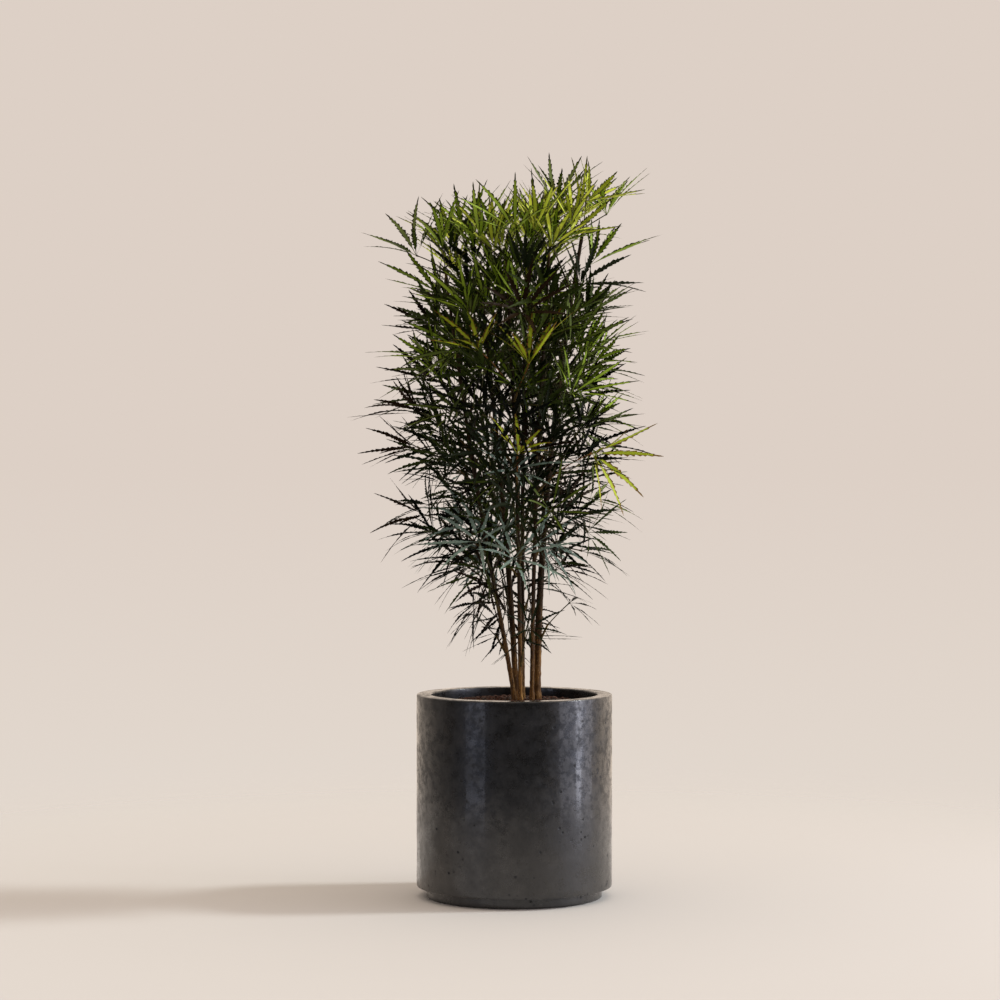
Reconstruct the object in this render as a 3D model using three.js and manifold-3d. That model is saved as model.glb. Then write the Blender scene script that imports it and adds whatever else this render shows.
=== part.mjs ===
// A potted false aralia: a clump of six slender canes in a round stone planter, with palmate
// leaves whose narrow leaflets spread like spokes. Millimetres, +Z up, origin at the centre of
// the pot's flat underside, the front of the plant towards -Y.
import * as THREE from "three";
import { mergeVertices } from "three/addons/utils/BufferGeometryUtils.js";
import Module from "manifold-3d";

const wasm = await Module();
wasm.setup();
const { lerp, clamp, degToRad, smoothstep } = THREE.MathUtils;

const CLEARANCE = 0.3; // gap between touching pieces
const UP = new THREE.Vector3(0, 0, 1);
const MERGE_DISTANCE = 1e-3;
const NEARLY_ZERO = 1e-6;
const NEARLY_PARALLEL = 0.9999; // cosine of the angle between two directions taken as one

// The pot, a thick-walled cylinder that stands on a smaller recessed foot.
const POT_RADIUS = 150;
const POT_HEIGHT = 310;
const POT_WALL = 22.5;
const POT_FLOOR = 30; // top of the floor inside
const POT_EDGE = 2.5; // bevel on the rim and the lower edges
const POT_SIDES = 44;
const FOOT_RADIUS = 134.5;
const FOOT_HEIGHT = 16.5;

// The soil, which fills the pot and rises a little round the canes.
const SOIL_RADIUS = POT_RADIUS - POT_WALL - CLEARANCE;
const SOIL_EDGE = POT_HEIGHT - 17;
const SOIL_TOP = POT_HEIGHT - 7;
const SOIL_FLAT = 58; // radius of the level middle
const SOIL_SHOULDER = 0.6; // share of its rise that the soil has halfway from the edge
const SOIL_SIDES = POT_SIDES / 2; // so that its corners lie in the corners of the pot

// The canes: foot and tip in plan, height of the tip, how far the middle bows out of line, and
// the radius at the soil and at the tip.
const CANES = [
  { foot: [0, -9], tip: [-104, -22], height: 946, bow: [-10, 0], radii: [3.6, 2.1] },
  { foot: [3, 9], tip: [-54, 58], height: 954, bow: [3, -8], radii: [4.6, 2.4] },
  { foot: [9, -22], tip: [-12, -68], height: 955, bow: [4, 8], radii: [3.5, 2.1] },
  { foot: [13, 22], tip: [18, 70], height: 958, bow: [-2, -8], radii: [3.6, 2.1] },
  { foot: [27, -11], tip: [52, -56], height: 974, bow: [-4, 6], radii: [3.4, 2.1] },
  { foot: [35, 7], tip: [104, 22], height: 1012, bow: [-12, -4], radii: [5.7, 2.6] },
];
const CANE_SIDES = 8;
const CANE_STEPS = 10;
const CANE_LEAN_POWER = 1.15; // over 1, a cane leans more towards its tip
const ROOT_FLARE = 1.25; // radius at the soil over the radius just above it
const ROOT_FLARE_HEIGHT = 16;

// The crown's space: a column that narrows to nothing below.
const CROWN_AXIS = new THREE.Vector3(-4, 0, 0);
const CROWN_REACH = 216; // from the axis to the leaf tips
const CROWN_TOP = 1150;
const CROWN_FOOT = 350;
const CROWN_SHOULDER = 600; // below this height the crown narrows
const CROWN_TAPER = 275; // height over which it narrows
const CROWN_TAPER_POWER = 1.9;
const LEAST_CROWN_REACH = 28; // room for the leaves where the crown has narrowed to nothing
const LEAST_HUB_REACH = 18;

// The tiers of side shoots, each of which carries one mass of leaves: two outer leaves, one
// higher than the other, and inner ones nearer to the canes.
const SHOOTS_IN_TIER = [3, 5, 5, 5, 5, 5, 5];
const TIER_LOW = 462;
const TIER_HIGH = 932;
const TIER_TILT = 0.16; // how much higher the top tier stands to the right than to the left
const GOLDEN_ANGLE = degToRad(137.508);
const SHOOT_RISES = [58, 40, 78]; // ways to go from the shoot's root on a cane up to its leaves
const CANES_TRIED = 3;
const FORK_SHARE = 0.3; // how far along the shoot its stalks part
const FORK_LIFT = 6;
const OUTER_SPREAD = degToRad(20); // either side of the shoot's own direction
const OUTER_STEP = 26; // how far one outer leaf stands over the shoot's middle, and the other below
const OUTER_SHARES = [1, 0.86]; // reach of the outer leaves over that of the crown's leaf hubs
const INNER_SHARES = [0.5, 0.16, 0.36];
const INNER_LIFTS = [34, 2, 64];
const TIER_SCATTER = { turn: 0.4, height: 30 };

// The tufts at the tips of the canes.
const TUFT_LEAVES = 4;
const TUFT_STEM = 14;
const TUFT_REACH = 42;
const TUFT_LIFT = [18, 40];
const TUFT_SIZE = 1;
const TUFT_SCATTER = { turn: 0.5, reach: 0.3 };

// The stems and stalks, three-sided.
const STEM_RADIUS = 2.2;
const STALK_RADIUS = 1;
const STALK_STEP = 0.14; // share of the stem between the points where its stalks part from it

// The leaves, whose leaflets spread from a hub at the stalk's tip.
const LEAFLETS = [7, 9]; // fewest and most on a leaf
const LEAFLET_LENGTH = 108;
const LEAFLET_WIDTH = 10;
const LEAFLET_WIDEST = 0.42; // share of the length from the hub
const HUB_RADIUS = 5.5;
const HUB_HALF_HEIGHT = 1.5; // a leaflet thins from here to its tip
const LONG_SIDE = 0.16; // how much longer the leaflets on the leaf's long side are
const LEAF_SCATTER = { swing: 0.8, rise: 30, open: 18, size: 0.2, turn: 0.3, spread: 0.2, length: 0.12 };

// How a leaf is held: its axis above the level, and how far its leaflets open from that axis.
const LOW_HABIT = { rise: 46, open: 76 };
const MIDDLE_HABIT = { rise: 38, open: 54 };
const HIGH_HABIT = { rise: 74, open: 44 };
const YOUNG_HABIT = { rise: 68, open: 42 };
const HANGING_HABIT = { rise: -20, open: 44 };
const LEVEL_HABIT = { rise: 18, open: 36 };
const STEEP_HABIT = { rise: 84, open: 42 };
const LOW_HEIGHTS = [420, 600]; // from the low habit to the middle one
const HIGH_HEIGHTS = [620, 1000]; // from the middle habit to the high one
const LEAST_FACING = 0.5; // share of a leaf's axis that lies along its stalk

// Room between the leaves.
const LEAST_LEAFLETS = 3; // a leaf with fewer that are clear is left out
const TRIES = 30; // turns of a leaf that are tried, to find the one with most room
const TRY_TILT = 0.6; // range of the tilts that are tried
const TRY_SEED = 7919;
const ROOM = 3.4; // half of the room that a leaflet is given when the tries are compared
const NEIGHBOURHOOD = 135; // how far off a line still counts as near to a leaf's hub
const OUTSIDE_COST = 2; // what a tip outside the crown counts against a near line
const LEAF_GAP = 0.4; // least gap that a leaflet keeps to what is in place

// Leaves that stand out by themselves, by the place of their hub: bright young ones at the front,
// three that reach out of the crown on the left, and small old ones low down.
const SINGLE_LEAVES = [
  { name: "young_leaf_left", hub: [-51, -118, 828], size: 0.9, young: true },
  { name: "young_leaf_middle", hub: [21, -124, 810], size: 1.05, young: true, held: STEEP_HABIT },
  { name: "young_leaf_right", hub: [116, -66, 678], size: 1.05, young: true, held: HANGING_HABIT },
  { name: "stray_leaf_upper", hub: [-142, -30, 740], size: 0.95, stray: true, held: LEVEL_HABIT },
  { name: "stray_leaf_lower", hub: [-136, -12, 584], size: 0.95, stray: true, held: LEVEL_HABIT },
  { name: "low_leaf_left", hub: [-62, -14, 432], size: 0.66 },
  { name: "low_leaf_right", hub: [84, -22, 450], size: 0.72 },
  { name: "low_leaf_front", hub: [22, -52, 412], size: 0.6 },
  { name: "low_leaf_back", hub: [26, 66, 436], size: 0.66 },
  { name: "young_leaf_lower", hub: [4, -126, 676], size: 0.8, young: true },
  { name: "stray_leaf_middle", hub: [-148, -20, 688], size: 0.85, stray: true, held: LEVEL_HABIT },
];

// Each family of shoots draws its chances from seeds of its own.
const SEED_STEP = 10;
const TIER_SEED = 1000;
const SINGLE_SEED = 8000;
const TUFT_SEED = 9000;

const stone = { color: 0x3c3a38, roughness: 0.35, metalness: 0 };
const earth = { color: 0x2c1d18, roughness: 0.95, metalness: 0 };
const bark = { color: 0x6b4c2c, roughness: 0.8, metalness: 0 };
const leaf = { roughness: 0.45, metalness: 0 };
const leafGreens = [0x26331c, 0x2e3b1d, 0x22301f, 0x333f1c, 0x1f2d20];
const youngGreen = 0x6f8428;

// A repeatable stream of numbers from 0 to 1.
function seededChance(seed) {
  let state = seed;
  return () => {
    state = (state + 0x6d2b79f5) >>> 0;
    let t = state;
    t = Math.imul(t ^ (t >>> 15), t | 1);
    t ^= t + Math.imul(t ^ (t >>> 7), t | 61);
    return ((t ^ (t >>> 14)) >>> 0) / 2 ** 32;
  };
}

// The next number of the stream, spread evenly about 0.
function scatter(chance, range) {
  return (chance() - 0.5) * range;
}

// Surfaces and solids

function surface(points, faces) {
  const geometry = new THREE.BufferGeometry();
  const numbers = points.flatMap((p) => [p.x, p.y, p.z]);
  geometry.setAttribute("position", new THREE.Float32BufferAttribute(numbers, 3));
  geometry.setIndex(faces.flat());
  return geometry;
}

function solidFrom(geometry) {
  const merged = mergeVertices(geometry, MERGE_DISTANCE);
  return new wasm.Manifold(
    new wasm.Mesh({
      numProp: 3,
      vertProperties: merged.attributes.position.array,
      triVerts: new Uint32Array(merged.index.array),
    }),
  );
}

function geometryOf(solid) {
  const mesh = solid.getMesh();
  const geometry = new THREE.BufferGeometry();
  geometry.setAttribute("position", new THREE.BufferAttribute(new Float32Array(mesh.vertProperties), 3));
  geometry.setIndex(new THREE.BufferAttribute(new Uint32Array(mesh.triVerts), 1));
  return geometry;
}

function turned(profile, sides) {
  const points = profile.map(([r, z]) => new THREE.Vector2(r, z));
  return new THREE.LatheGeometry(points, sides).rotateX(Math.PI / 2);
}

// The direction without its part along the normal.
function flattened(direction, normal) {
  return direction.clone().addScaledVector(normal, -direction.dot(normal)).normalize();
}

// The pot and its soil

function potGeometry() {
  const inner = POT_RADIUS - POT_WALL;
  return turned(
    [
      [0, 0],
      [FOOT_RADIUS - POT_EDGE, 0],
      [FOOT_RADIUS, POT_EDGE],
      [FOOT_RADIUS, FOOT_HEIGHT],
      [POT_RADIUS - POT_EDGE, FOOT_HEIGHT],
      [POT_RADIUS, FOOT_HEIGHT + POT_EDGE],
      [POT_RADIUS, POT_HEIGHT - POT_EDGE],
      [POT_RADIUS - POT_EDGE, POT_HEIGHT],
      [inner + POT_EDGE, POT_HEIGHT],
      [inner, POT_HEIGHT - POT_EDGE],
      [inner, POT_FLOOR],
      [0, POT_FLOOR],
    ],
    POT_SIDES,
  );
}

function soilGeometry() {
  return turned(
    [
      [0, POT_FLOOR + CLEARANCE],
      [SOIL_RADIUS, POT_FLOOR + CLEARANCE],
      [SOIL_RADIUS, SOIL_EDGE],
      [(SOIL_FLAT + SOIL_RADIUS) / 2, lerp(SOIL_EDGE, SOIL_TOP, SOIL_SHOULDER)],
      [SOIL_FLAT, SOIL_TOP],
      [0, SOIL_TOP],
    ],
    SOIL_SIDES,
  );
}

// The canes

function canePoint(cane, height) {
  const u = (height - SOIL_TOP) / (cane.height - SOIL_TOP);
  const bend = Math.sin(Math.PI * u);
  const lean = u ** CANE_LEAN_POWER;
  return new THREE.Vector3(
    lerp(cane.foot[0], cane.tip[0], lean) + cane.bow[0] * bend,
    lerp(cane.foot[1], cane.tip[1], lean) + cane.bow[1] * bend,
    height,
  );
}

function caneRadius(cane, height) {
  const u = (height - SOIL_TOP) / (cane.height - SOIL_TOP);
  const flare = lerp(ROOT_FLARE, 1, smoothstep(height - SOIL_TOP, 0, ROOT_FLARE_HEIGHT));
  return lerp(cane.radii[0], cane.radii[1], u) * flare;
}

function caneHeights(cane) {
  const foot = SOIL_TOP + ROOT_FLARE_HEIGHT;
  const heights = [SOIL_TOP + CLEARANCE, foot];
  for (let i = 1; i <= CANE_STEPS; i++) heights.push(lerp(foot, cane.height, i / CANE_STEPS));
  return heights;
}

// A cane as a stack of level rings, so that it is cut flat at the soil and at its tip.
function caneGeometry(cane) {
  const points = [];
  const faces = [];
  const heights = caneHeights(cane);
  for (const height of heights) {
    for (let side = 0; side < CANE_SIDES; side++) {
      const out = new THREE.Vector3(1, 0, 0).applyAxisAngle(UP, (side / CANE_SIDES) * 2 * Math.PI);
      points.push(canePoint(cane, height).addScaledVector(out, caneRadius(cane, height)));
    }
  }
  const last = (heights.length - 1) * CANE_SIDES;
  for (let ring = 0; ring < last; ring += CANE_SIDES) {
    for (let side = 0; side < CANE_SIDES; side++) {
      const a = ring + side;
      const b = ring + ((side + 1) % CANE_SIDES);
      faces.push([a, b, b + CANE_SIDES], [a, b + CANE_SIDES, a + CANE_SIDES]);
    }
  }
  for (let side = 1; side + 1 < CANE_SIDES; side++) {
    faces.push([0, side + 1, side], [last, last + side, last + side + 1]);
  }
  return surface(points, faces);
}

// Room: the centre lines of all limbs and leaflets, and how many of them a new one comes close to

const lines = [];

function gapBetween(a, b) {
  const u = a.to.clone().sub(a.from);
  const v = b.to.clone().sub(b.from);
  const w = a.from.clone().sub(b.from);
  const [uu, vv, uv, uw, vw] = [u.dot(u), v.dot(v), u.dot(v), u.dot(w), v.dot(w)];
  let s = clamp((uv * vw - uw * vv) / Math.max(uu * vv - uv * uv, NEARLY_ZERO), 0, 1);
  const t = clamp((uv * s + vw) / vv, 0, 1);
  s = clamp((uv * t - uw) / uu, 0, 1);
  return w.addScaledVector(u, s).addScaledVector(v, -t).length();
}

function crowding(line, others) {
  return others.filter((other) => gapBetween(line, other) < line.radius + other.radius).length;
}

// Room: the convex bodies of all that is in place, and whether a new one touches them

const bodies = [];
const ROD_FACES = [
  [0, 1, 5, 4],
  [1, 2, 6, 5],
  [2, 3, 7, 6],
  [3, 0, 4, 7],
  [3, 2, 1, 0],
];
const FLAT_END = [[4, 5, 6, 7]];
const POINTED_END = [
  [4, 5, 8],
  [5, 6, 8],
  [6, 7, 8],
  [7, 4, 8],
];

function convexBody(points, faces) {
  const normals = [];
  const edges = [];
  const addNew = (list, direction) => {
    direction.normalize();
    if (list.every((other) => Math.abs(other.dot(direction)) < NEARLY_PARALLEL)) list.push(direction);
  };
  for (const face of faces) {
    const sides = face.map((v, i) => points[face[(i + 1) % face.length]].clone().sub(points[v]));
    addNew(normals, sides[0].clone().cross(sides[1]));
    sides.forEach((side) => addNew(edges, side));
  }
  const centre = points.reduce((sum, p) => sum.add(p), new THREE.Vector3()).divideScalar(points.length);
  const radius = Math.max(...points.map((p) => p.distanceTo(centre)));
  return { points, normals, edges, centre, radius };
}

// A square rod that holds the round one of that radius.
function rodBody(from, to, radius) {
  const along = to.clone().sub(from).normalize();
  const side = flattened(Math.abs(along.z) < Math.abs(along.x) ? UP : new THREE.Vector3(1, 0, 0), along);
  const over = along.clone().cross(side);
  const ring = (end) =>
    [[-1, -1], [1, -1], [1, 1], [-1, 1]].map(([a, b]) =>
      end.clone().addScaledVector(side, a * radius).addScaledVector(over, b * radius),
    );
  return convexBody([...ring(from), ...ring(to)], [...ROD_FACES, ...FLAT_END]);
}

function apartAlong(a, b, axis) {
  const span = (body) => {
    const places = body.points.map((p) => p.dot(axis));
    return [Math.min(...places), Math.max(...places)];
  };
  const [lowA, highA] = span(a);
  const [lowB, highB] = span(b);
  return highA < lowB || highB < lowA;
}

function touches(a, b) {
  if (a.centre.distanceTo(b.centre) > a.radius + b.radius) return false;
  if ([...a.normals, ...b.normals].some((axis) => apartAlong(a, b, axis))) return false;
  return !a.edges.some((edge) =>
    b.edges.some((other) => {
      const across = edge.clone().cross(other);
      return across.lengthSq() > NEARLY_ZERO && apartAlong(a, b, across);
    }),
  );
}

// The crown's space

function crownReach(height) {
  const below = Math.max(0, CROWN_SHOULDER - height) / CROWN_TAPER;
  return CROWN_REACH * Math.max(0, 1 - below ** CROWN_TAPER_POWER);
}

function insideCrown(point, stray) {
  if (point.z > CROWN_TOP || point.z < CROWN_FOOT) return false;
  const reach = Math.hypot(point.x - CROWN_AXIS.x, point.y - CROWN_AXIS.y);
  return stray || reach < crownReach(point.z) + LEAST_CROWN_REACH;
}

function crownPoint(azimuth, share, height) {
  const reach = Math.max(0, crownReach(height) - LEAFLET_LENGTH) * share + LEAST_HUB_REACH;
  const out = new THREE.Vector3(reach, 0, 0).applyAxisAngle(UP, azimuth);
  return out.add(CROWN_AXIS).setZ(height);
}

// Leaves

function leafHabit(height, young) {
  if (young) return YOUNG_HABIT;
  const low = 1 - smoothstep(height, ...LOW_HEIGHTS);
  const high = smoothstep(height, ...HIGH_HEIGHTS);
  const blend = (key) => lerp(lerp(MIDDLE_HABIT[key], HIGH_HABIT[key], high), LOW_HABIT[key], low);
  return { rise: blend("rise"), open: blend("open") };
}

// A leaf at the end of its stalk. It never faces back along the stalk.
function newLeaf({ from, to: hub, seed }, { size, young, stray, held }) {
  const chance = seededChance(seed);
  const habit = held ?? leafHabit(hub.z, young);
  const rise = degToRad(habit.rise + scatter(chance, LEAF_SCATTER.rise));
  const open = degToRad(habit.open + scatter(chance, LEAF_SCATTER.open));
  const facing = flattened(hub.clone().sub(CROWN_AXIS), UP);
  facing.applyAxisAngle(UP, scatter(chance, LEAF_SCATTER.swing));
  const axis = facing.multiplyScalar(Math.cos(rise)).addScaledVector(UP, Math.sin(rise));
  const ahead = hub.clone().sub(from).normalize();
  axis.addScaledVector(ahead, Math.max(0, LEAST_FACING - axis.dot(ahead))).normalize();
  const spin = chance() * 2 * Math.PI;
  const length = LEAFLET_LENGTH * size * (1 + scatter(chance, LEAF_SCATTER.size));
  const count = LEAFLETS[0] + Math.floor(chance() * (LEAFLETS[1] - LEAFLETS[0] + 1));
  const leaflets = [];
  for (let i = 0; i < count; i++) {
    const around = ((i + scatter(chance, LEAF_SCATTER.turn)) / count) * 2 * Math.PI;
    const longSide = 1 - LONG_SIDE * (1 - Math.cos(around));
    leaflets.push({
      turn: spin + around,
      open: open * (1 + scatter(chance, LEAF_SCATTER.spread)),
      length: length * longSide * (1 + scatter(chance, LEAF_SCATTER.length)),
    });
  }
  return { hub, axis, leaflets, stray, width: LEAFLET_WIDTH * Math.sqrt(size) };
}

function turnedLeaf(leaf, turn, tilt) {
  const side = new THREE.Vector3(-leaf.axis.y, leaf.axis.x, 0).normalize();
  return {
    ...leaf,
    axis: leaf.axis.clone().applyAxisAngle(side, tilt),
    leaflets: leaf.leaflets.map((leaflet) => ({ ...leaflet, turn: leaflet.turn + turn })),
  };
}

// Each leaflet's own directions, from the hub outwards, across it and over it.
function leafletFrames(leaf) {
  const side = flattened(new THREE.Vector3(1, 0, 0), leaf.axis);
  return leaf.leaflets.map(({ turn, open, length, stunted }) => {
    const out = side.clone().applyAxisAngle(leaf.axis, turn);
    const across = leaf.axis.clone().cross(out);
    const along = leaf.axis.clone().multiplyScalar(Math.cos(open)).addScaledVector(out, Math.sin(open));
    return { turn, length, stunted, along, across, above: along.clone().cross(across) };
  });
}

function leafletLines(leaf) {
  return leafletFrames(leaf).map(({ along, length }) => ({
    from: leaf.hub.clone().addScaledVector(along, HUB_RADIUS),
    to: leaf.hub.clone().addScaledVector(along, length),
    radius: ROOM,
  }));
}

// The leaf turned to where its leaflets have most room.
function fittedLeaf(leaf, seed) {
  const chance = seededChance(seed + TRY_SEED);
  const hub = { from: leaf.hub, to: leaf.hub.clone().add(UP) };
  const near = lines.filter((line) => gapBetween(line, hub) < NEIGHBOURHOOD);
  let best = null;
  for (let i = 0; i < TRIES; i++) {
    const tried = turnedLeaf(leaf, chance() * 2 * Math.PI, scatter(chance, TRY_TILT));
    const own = leafletLines(tried);
    const outside = own.filter((line) => !insideCrown(line.to, leaf.stray)).length;
    const cost = own.reduce((sum, line) => sum + crowding(line, near), OUTSIDE_COST * outside);
    if (!best || cost < best.cost) best = { ...tried, cost, lines: own };
    if (cost === 0) break;
  }
  return best;
}

function leafletBody(leaf, { along, across, above, length }) {
  const half = leaf.width / 2 + LEAF_GAP;
  const thick = HUB_HALF_HEIGHT + LEAF_GAP;
  const at = (distance) => leaf.hub.clone().addScaledVector(along, distance);
  const ring = (distance) => [
    at(distance).addScaledVector(across, half),
    at(distance).addScaledVector(above, thick),
    at(distance).addScaledVector(across, -half),
    at(distance).addScaledVector(above, -thick),
  ];
  const points = [...ring(HUB_RADIUS / 2), ...ring(length * LEAFLET_WIDEST), at(length + LEAF_GAP)];
  return convexBody(points, [...ROD_FACES, ...POINTED_END]);
}

// The leaf, with its leaflets stunted that would touch another or leave the crown.
function clearLeaf(leaf) {
  const strangers = bodies.filter((body) => body.hub !== leaf.hub);
  const isClear = (body) => !strangers.some((other) => touches(body, other));
  const above = leaf.axis.clone().multiplyScalar(HUB_HALF_HEIGHT + LEAF_GAP);
  const hubBody = rodBody(leaf.hub.clone().sub(above), leaf.hub.clone().add(above), HUB_RADIUS);
  if (!isClear(hubBody)) return null;
  const grown = leafletFrames(leaf).map((frame) => {
    const tip = leaf.hub.clone().addScaledVector(frame.along, frame.length);
    const body = leafletBody(leaf, frame);
    return insideCrown(tip, leaf.stray) && isClear(body) ? body : null;
  });
  if (grown.filter(Boolean).length < LEAST_LEAFLETS) return null;
  bodies.push(hubBody, ...grown.filter(Boolean));
  return { ...leaf, leaflets: leaf.leaflets.map((leaflet, i) => ({ ...leaflet, stunted: !grown[i] })) };
}

// A stalk along a line of points and the leaflets at its tip as one closed surface: a star that
// is thickest along the middle of each leaflet, with the three-sided stalk growing from its back.
function leafSolid(leaf, line, rootPlane) {
  const frames = leafletFrames(leaf).sort((a, b) => a.turn - b.turn);
  const points = [leaf.hub.clone().addScaledVector(leaf.axis, HUB_HALF_HEIGHT)];
  const faces = [];
  const add = (point) => points.push(point) - 1;
  const back = leaf.hub.clone().addScaledVector(leaf.axis, -HUB_HALF_HEIGHT);
  const corners = [0, 1, 2].map((k) => Math.round((k * frames.length) / 3));
  const outwards = corners.map((i) => flattened(frames[i].along, leaf.axis));
  const centres = [back, ...line.slice(0, -1).reverse()];
  const rings = stalkRings(centres, outwards, rootPlane).map((ring) => ring.map(add));
  for (let step = 0; step + 1 < rings.length; step++) {
    for (let k = 0; k < 3; k++) {
      const [a, b] = [rings[step + 1][k], rings[step + 1][(k + 1) % 3]];
      faces.push([a, b, rings[step][(k + 1) % 3]], [a, rings[step][(k + 1) % 3], rings[step][k]]);
    }
  }
  faces.push([...rings.at(-1)].reverse());
  const notches = frames.map((frame, i) => {
    const between = frame.along.clone().add(frames[(i + 1) % frames.length].along).normalize();
    return add(leaf.hub.clone().addScaledVector(between, HUB_RADIUS));
  });
  frames.forEach((frame, i) => {
    const after = notches[i];
    const before = notches.at(i - 1);
    const sector = corners.filter((corner) => corner <= i).length - 1;
    const root = rings[0][sector];
    const at = (distance) => leaf.hub.clone().addScaledVector(frame.along, distance);
    if (corners.includes(i)) faces.push([root, before, rings[0].at(sector - 1)]);
    if (frame.stunted) {
      const tip = add(at(HUB_RADIUS));
      faces.push([0, before, tip], [0, tip, after], [root, tip, before], [root, after, tip]);
      return;
    }
    const middle = at(frame.length * LEAFLET_WIDEST);
    const right = add(middle.clone().addScaledVector(frame.across, -leaf.width / 2));
    const left = add(middle.clone().addScaledVector(frame.across, leaf.width / 2));
    const tip = add(at(frame.length));
    faces.push([0, before, right], [0, right, tip], [0, tip, left], [0, left, after]);
    faces.push([root, right, before], [root, tip, right], [root, left, tip], [root, after, left]);
  });
  return solidFrom(surface(points, faces));
}

// The rings of three points round a stalk from its leaf down, mitred at its bends. Its foot lies
// in the root plane where one is given, and a stalk with a bend is a stem from there down.
function stalkRings(centres, outwards, rootPlane) {
  const last = centres.length - 1;
  let offsets = outwards;
  return centres.map((centre, step) => {
    const radius = step > 0 && last > 1 ? STEM_RADIUS : STALK_RADIUS;
    if (step > 0) {
      const along = centre.clone().sub(centres[step - 1]).normalize();
      const ahead = step < last ? centres[step + 1].clone().sub(centre).normalize() : along;
      const plane = step === last && rootPlane ? rootPlane : ahead.clone().add(along);
      offsets = offsets.map((offset) => {
        const square = flattened(offset, along);
        return square.addScaledVector(along, -square.dot(plane) / along.dot(plane));
      });
    }
    return offsets.map((offset) => centre.clone().addScaledVector(offset, radius));
  });
}

// Masses of leaves

// The stem and stalks of a shoot, by the way that leaves most stalks clear of what is in place.
function growLimbs(shoot) {
  shoot.stalks = [];
  for (const way of shoot.ways) {
    const stem = { from: way.root, to: way.fork, radius: STEM_RADIUS + LEAF_GAP };
    if (crowding(stem, lines.filter((line) => line.cane !== way.cane))) continue;
    const stalks = shoot.hubs
      .map((hub, i) => ({ from: way.fork, to: hub, radius: STALK_RADIUS + LEAF_GAP, seed: shoot.seed + i }))
      .filter((stalk) => !crowding(stalk, lines));
    if (stalks.length > shoot.stalks.length) Object.assign(shoot, { ...way, stem, stalks });
  }
  if (!shoot.stalks.length) return false;
  shoot.stalks.forEach((stalk, i) => {
    stalk.from = shoot.fork.clone().lerp(shoot.root, i * STALK_STEP);
  });
  lines.push(shoot.stem, ...shoot.stalks);
  bodies.push(rodBody(shoot.root, shoot.fork, shoot.stem.radius));
  bodies.push(...shoot.stalks.map(({ from, to, radius }) => ({ ...rodBody(from, to, radius), hub: to })));
  return true;
}

// One mass: the stem, carried on by the stalk that bends off least, with the others fused in.
function massSolid(shoot) {
  const leaves = [];
  for (const stalk of shoot.stalks) {
    const fitted = fittedLeaf(newLeaf(stalk, shoot), stalk.seed);
    lines.push(...fitted.lines);
    const clear = clearLeaf(fitted);
    if (clear) leaves.push({ leaf: clear, stalk });
  }
  if (!leaves.length) return null;
  const ahead = shoot.fork.clone().sub(shoot.root);
  const bend = ({ stalk }) => stalk.to.clone().sub(shoot.fork).angleTo(ahead);
  const [carrier, ...others] = leaves.sort((a, b) => bend(a) - bend(b));
  return wasm.Manifold.union([
    leafSolid(carrier.leaf, [shoot.root, shoot.fork, carrier.stalk.to], shoot.rootPlane),
    ...others.map(({ leaf, stalk }) => leafSolid(leaf, [stalk.from, stalk.to])),
  ]);
}

// The ways in which a shoot can leave the side of one of the nearest canes to its hubs.
function sideWays(hubs) {
  const middle = hubs.reduce((sum, hub) => sum.add(hub), new THREE.Vector3()).divideScalar(hubs.length);
  return SHOOT_RISES.flatMap((rise) => {
    const height = (cane) => Math.min(middle.z - rise, cane.height - TUFT_STEM);
    const distance = (cane) => canePoint(cane, height(cane)).distanceTo(middle);
    const nearest = [...CANES].sort((a, b) => distance(a) - distance(b)).slice(0, CANES_TRIED);
    return nearest.map((cane) => sideWay(cane, height(cane), middle));
  });
}

function sideWay(cane, height, middle) {
  const heart = canePoint(cane, height);
  const ahead = canePoint(cane, height + 1).sub(heart).normalize();
  const rootPlane = flattened(middle.clone().sub(heart), ahead);
  const fork = heart.clone().lerp(middle, FORK_SHARE).addScaledVector(UP, FORK_LIFT);
  const root = heart.clone().addScaledVector(rootPlane, caneRadius(cane, height) + CLEARANCE);
  return { cane, root, rootPlane, fork };
}

function tierShoots() {
  const top = SHOOTS_IN_TIER.length - 1;
  return SHOOTS_IN_TIER.flatMap((count, tier) =>
    Array.from({ length: count }, (_, k) => {
      const seed = TIER_SEED * (tier + 1) + SEED_STEP * k;
      const chance = seededChance(seed);
      const turn = (k + scatter(chance, TIER_SCATTER.turn)) / count;
      const azimuth = tier * GOLDEN_ANGLE + turn * 2 * Math.PI;
      const level = lerp(TIER_LOW, TIER_HIGH, tier / top) + scatter(chance, TIER_SCATTER.height);
      const height = level + ((TIER_TILT * tier) / top) * crownPoint(azimuth, 1, level).x;
      const step = OUTER_STEP * (chance() < 0.5 ? 1 : -1);
      const hubs = [
        crownPoint(azimuth - OUTER_SPREAD, OUTER_SHARES[0], height + step),
        crownPoint(azimuth + OUTER_SPREAD, OUTER_SHARES[1], height - step),
        ...INNER_SHARES.map((share, i) =>
          crownPoint(azimuth + scatter(chance, 2 * OUTER_SPREAD), share, height + INNER_LIFTS[i]),
        ),
      ];
      return { name: `foliage_${tier + 1}_${k + 1}`, seed, size: 1, hubs, ways: sideWays(hubs) };
    }),
  );
}

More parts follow.
